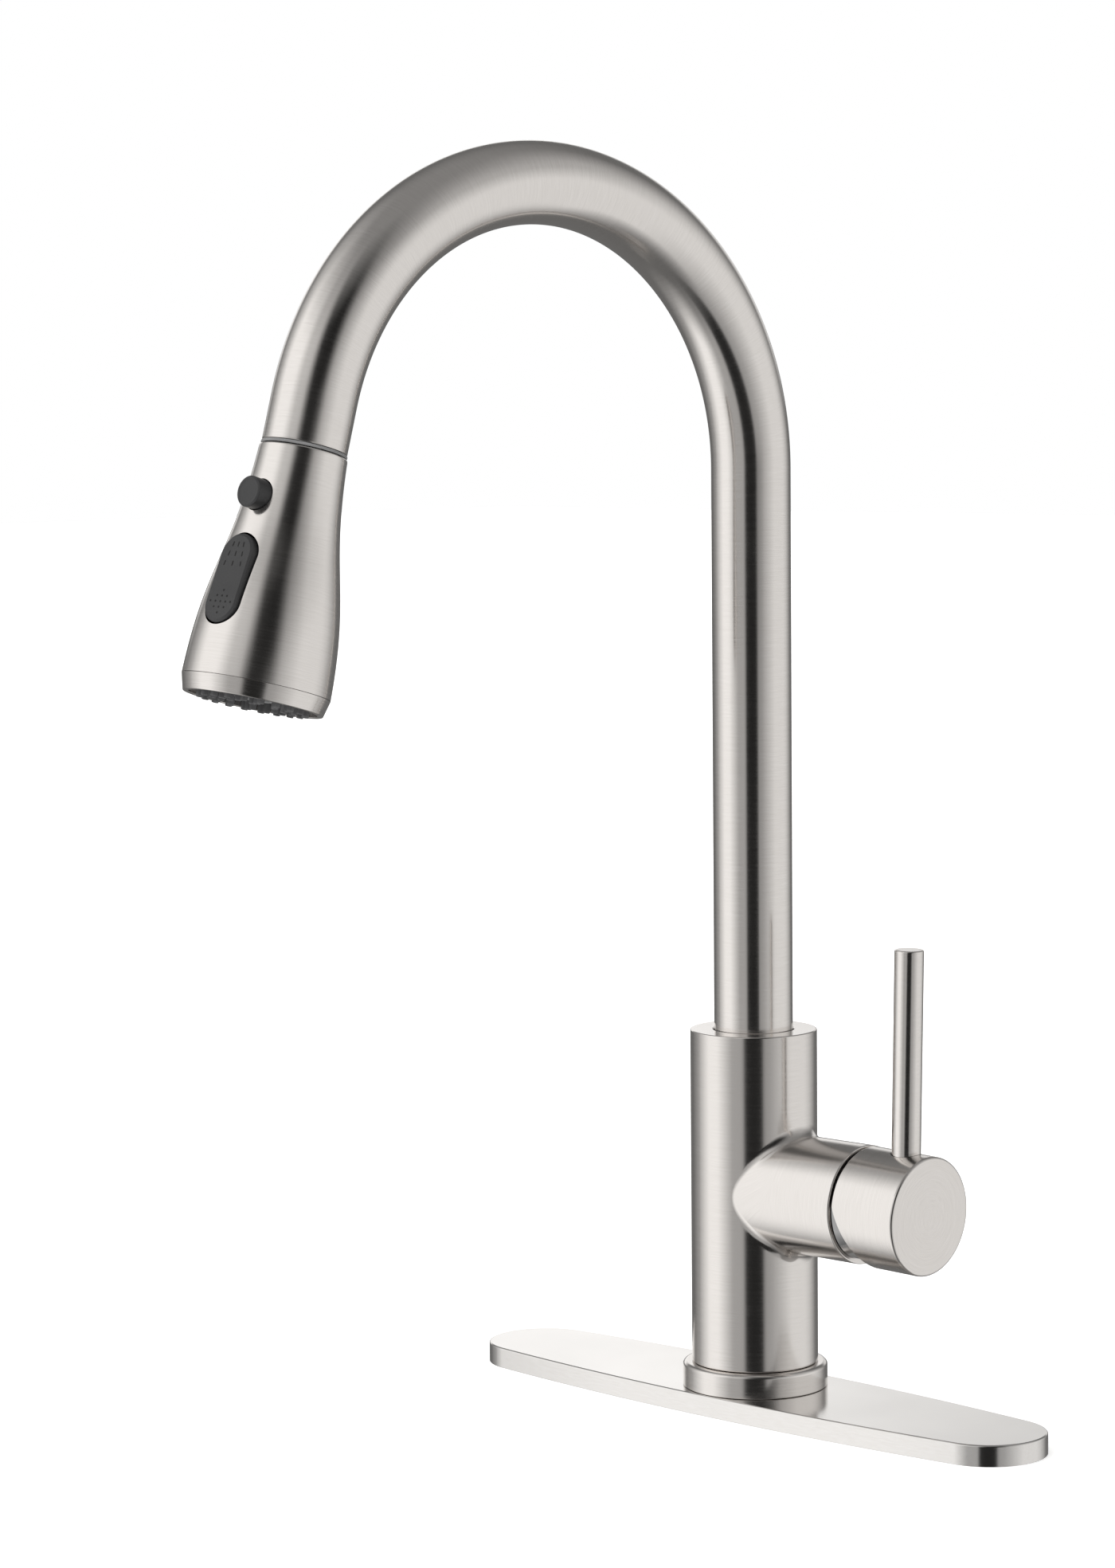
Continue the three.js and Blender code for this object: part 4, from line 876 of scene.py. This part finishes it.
def hoseSurface(h, along, woven):
    # woven is how far along the braid each ring stands
    rings = np.r_[along[0], along, along[-1]]
    radius = np.r_[0.01, np.full(len(along), h["radius"]), 0.01]
    surface, grain = pathSurface(rings, radius, h["sides"])
    turn = np.arange(h["sides"]) / h["sides"] * fullTurn
    lay = np.r_[woven[0], woven, woven[-1]][:, None] + 0 * turn
    return surface, np.stack([lay, turn + 0 * lay, 0 * lay], -1).reshape(-1, 3)


run = np.linspace(hose["foot"] - spout["foot"], hoseJoin, 150)
runShape, runGrain = hoseSurface(hose, run, run)
finishPiece("hose_run_braid", runShape, spoutFrame, "spout", "braided_hose", ["pull_hose"], style="path",
            path=runGrain)

# the stretch that draws out with the wand: its braid is laid for the drawn length
share = np.linspace(0, 1, 130)
drawn = hoseJoin + hose["slack"] * share + hose["draw"] * share ** 2 * (3 - 2 * share)
slackShape, slackGrain = hoseSurface(hose, hoseJoin + hose["slack"] * share, drawn)
slack = finishPiece("hose_slack_braid", slackShape, spoutFrame, None, "braided_hose", ["pull_hose"],
                    style="path", path=slackGrain)
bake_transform(slack)

# ---- the pieces that stay as they are ----

slotOf = {s["node"]: s["material_slot"] for s in frame["record"]["subparts"]}
for name, obj in frame["nodes"].items():
    if not obj.hide_render:
        obj.data.materials.clear()
        obj.data.materials.append(finishes[slotOf[name]])
        flat = np.empty(len(obj.data.vertices) * 3)
        obj.data.vertices.foreach_get("co", flat)
        grain = obj.data.attributes.new("grain", "FLOAT_VECTOR", "POINT")
        grain.data.foreach_set("vector", (flat * 1000).astype(np.float32))
print("kept nodes finished")

# ---- floor and light ----

floorLook = {"size": 9.0, "colour": (0.93, 0.93, 0.925, 1), "roughness": 0.85, "glow": 0.35}


def makeFloor(f):
    floor = bpy.data.meshes.new("floor")
    size = f["size"]
    corners = [(-size, -size, 0), (size, -size, 0), (size, size, 0), (-size, size, 0)]
    floor.from_pydata(corners, [], [(0, 1, 2, 3)])
    floor.materials.append(newFinish("paleFloor", Roughness=f["roughness"], Base_Color=f["colour"],
                                     Emission_Color=(1, 1, 1, 1), Emission_Strength=f["glow"])[0])
    obj = bpy.data.objects.new("floor", floor)
    scene.collection.objects.link(obj)
    obj.visible_glossy = False


makeFloor(floorLook)

# soft boxes and black flags stand round the set: from and to in degrees round from the front with a soft
# edge, and low and high in degrees above the set, where the edge is soft degrees wide
studio = {
    "front": -48.7, "room": 0.15, "soft": 25,
    "zenith": 0.24, "ceiling": (0.6, 0.95), "nadir": 0.14, "ground": (-0.75, -0.98),
    "sky": 3.0, "skyWidth": 120, "skyLean": 32, "skyTurn": -60,
    "boxes": {
        "leftWall": {"from": -130, "to": 0, "edge": 30, "low": -90, "high": 90, "level": 0.25},
        "key": {"from": -105, "to": -55, "edge": 30, "low": -90, "high": 90, "level": 0.6},
        "highKey": {"from": -140, "to": -15, "edge": 30, "low": 15, "high": 90, "level": 0.2},
        "rightWall": {"from": 0, "to": 130, "edge": 25, "low": -90, "high": 20, "level": 0.2},
        "fill": {"from": 45, "to": 130, "edge": 50, "low": -90, "high": 20, "level": 0.12},
        "wideFill": {"from": 50, "to": 125, "edge": 40, "low": -90, "high": 90, "level": 0.3},
    },
    "flags": {
        "flag": {"from": -18, "to": 17, "edge": 5, "low": -90, "high": 15, "level": 0.95},
        "highFlag": {"from": -12, "to": 32, "edge": 16, "low": 5, "high": 90, "level": 0.92},
    },
    "window": {"ahead": (-0.78, -0.93), "foot": (0.04, 0.12), "head": (0.38, 0.26), "side": (0.06, -0.02),
               "level": 1.1, "dim": 0.7},
}


def makeWorld(w):
    world = bpy.data.worlds.new("studio")
    world.use_nodes = True
    scene.world = world
    tree = world.node_tree
    where = addNode(tree, "ShaderNodeTexCoord").outputs["Generated"]
    rise = addNode(tree, "ShaderNodeSeparateXYZ", n0=where).outputs[2]
    front = math.radians(w["front"])
    ahead = addNode(tree, "ShaderNodeVectorMath", {"operation": "DOT_PRODUCT"}, n0=where,
                    n1=(math.cos(front), math.sin(front), 0)).outputs["Value"]
    aside = addNode(tree, "ShaderNodeVectorMath", {"operation": "DOT_PRODUCT"}, n0=where,
                    n1=(-math.sin(front), math.cos(front), 0)).outputs["Value"]
    heading = addNode(tree, "ShaderNodeMath", {"operation": "ARCTAN2"}, n0=aside, n1=ahead).outputs[0]
    height = addNode(tree, "ShaderNodeMath", {"operation": "ARCSINE"}, n0=rise).outputs[0]

    def toned(level):
        return (level, level * 0.992, level * 0.98, 1)

    def blended(factor, first, second):
        mix = addNode(tree, "ShaderNodeMix", {"data_type": "RGBA"})
        tree.links.new(factor, mix.inputs[0])
        for value, socket in ((first, mix.inputs[6]), (second, mix.inputs[7])):
            if isinstance(value, tuple):
                socket.default_value = value
            else:
                tree.links.new(value, socket)
        return mix.outputs[2]

    def between(value, low, high, top=1.0):
        return addNode(tree, "ShaderNodeMapRange", n0=value, n1=low, n2=high, n3=0.0, n4=top).outputs[0]

    def worked(operation, first, second):
        return addNode(tree, "ShaderNodeMath", {"operation": operation}, n0=first, n1=second).outputs[0]

    def edge(value, place, soft, top=1.0):
        # rises to top over the soft edge, or falls from it where soft is negative
        return between(value, math.radians(place - soft / 2), math.radians(place + soft / 2), top)

    def softBox(b):
        shade = worked("MULTIPLY", edge(heading, b["from"], b["edge"], b["level"]),
                       edge(heading, b["to"], -b["edge"]))
        if b["low"] > -90:
            shade = worked("MULTIPLY", shade, edge(height, b["low"], w["soft"]))
        if b["high"] < 90:
            shade = worked("MULTIPLY", shade, edge(height, b["high"], -w["soft"]))
        return shade

    level = w["room"]
    for box in w["boxes"].values():
        level = worked("ADD", softBox(box), level)
    for flag in w["flags"].values():
        level = worked("MULTIPLY", level, worked("SUBTRACT", 1.0, softBox(flag)))
    light = blended(level, (0, 0, 0, 1), toned(1.0))
    light = blended(between(rise, *w["ceiling"]), light, toned(w["zenith"]))
    light = blended(between(rise, *w["ground"]), light, toned(w["nadir"]))
    pane = w["window"]
    patch = worked("MULTIPLY", between(ahead, *pane["ahead"]), between(rise, *pane["foot"]))
    patch = worked("MULTIPLY", patch, between(rise, *pane["head"]))
    far = blended(between(aside, *pane["side"]), toned(pane["level"] * pane["dim"]), toned(pane["level"]))
    light = blended(patch, light, far)
    seen = addNode(tree, "ShaderNodeLightPath").outputs["Is Camera Ray"]
    tree.links.new(blended(seen, light, (1, 1, 1, 1)), tree.nodes["Background"].inputs[0])
    sky = bpy.data.lights.new("sky", "SUN")
    sky.energy = w["sky"]
    sky.angle = math.radians(w["skyWidth"])
    lamp = bpy.data.objects.new("sky", sky)
    lamp.matrix_world = Matrix(turnedAbout("Z", w["front"] + w["skyTurn"])
                               @ turnedAbout("Y", w["skyLean"]))
    lamp.visible_glossy = False
    scene.collection.objects.link(lamp)


makeWorld(studio)
scene.view_settings.view_transform = "Standard"
scene.view_settings.look = "None"
print("studio made")
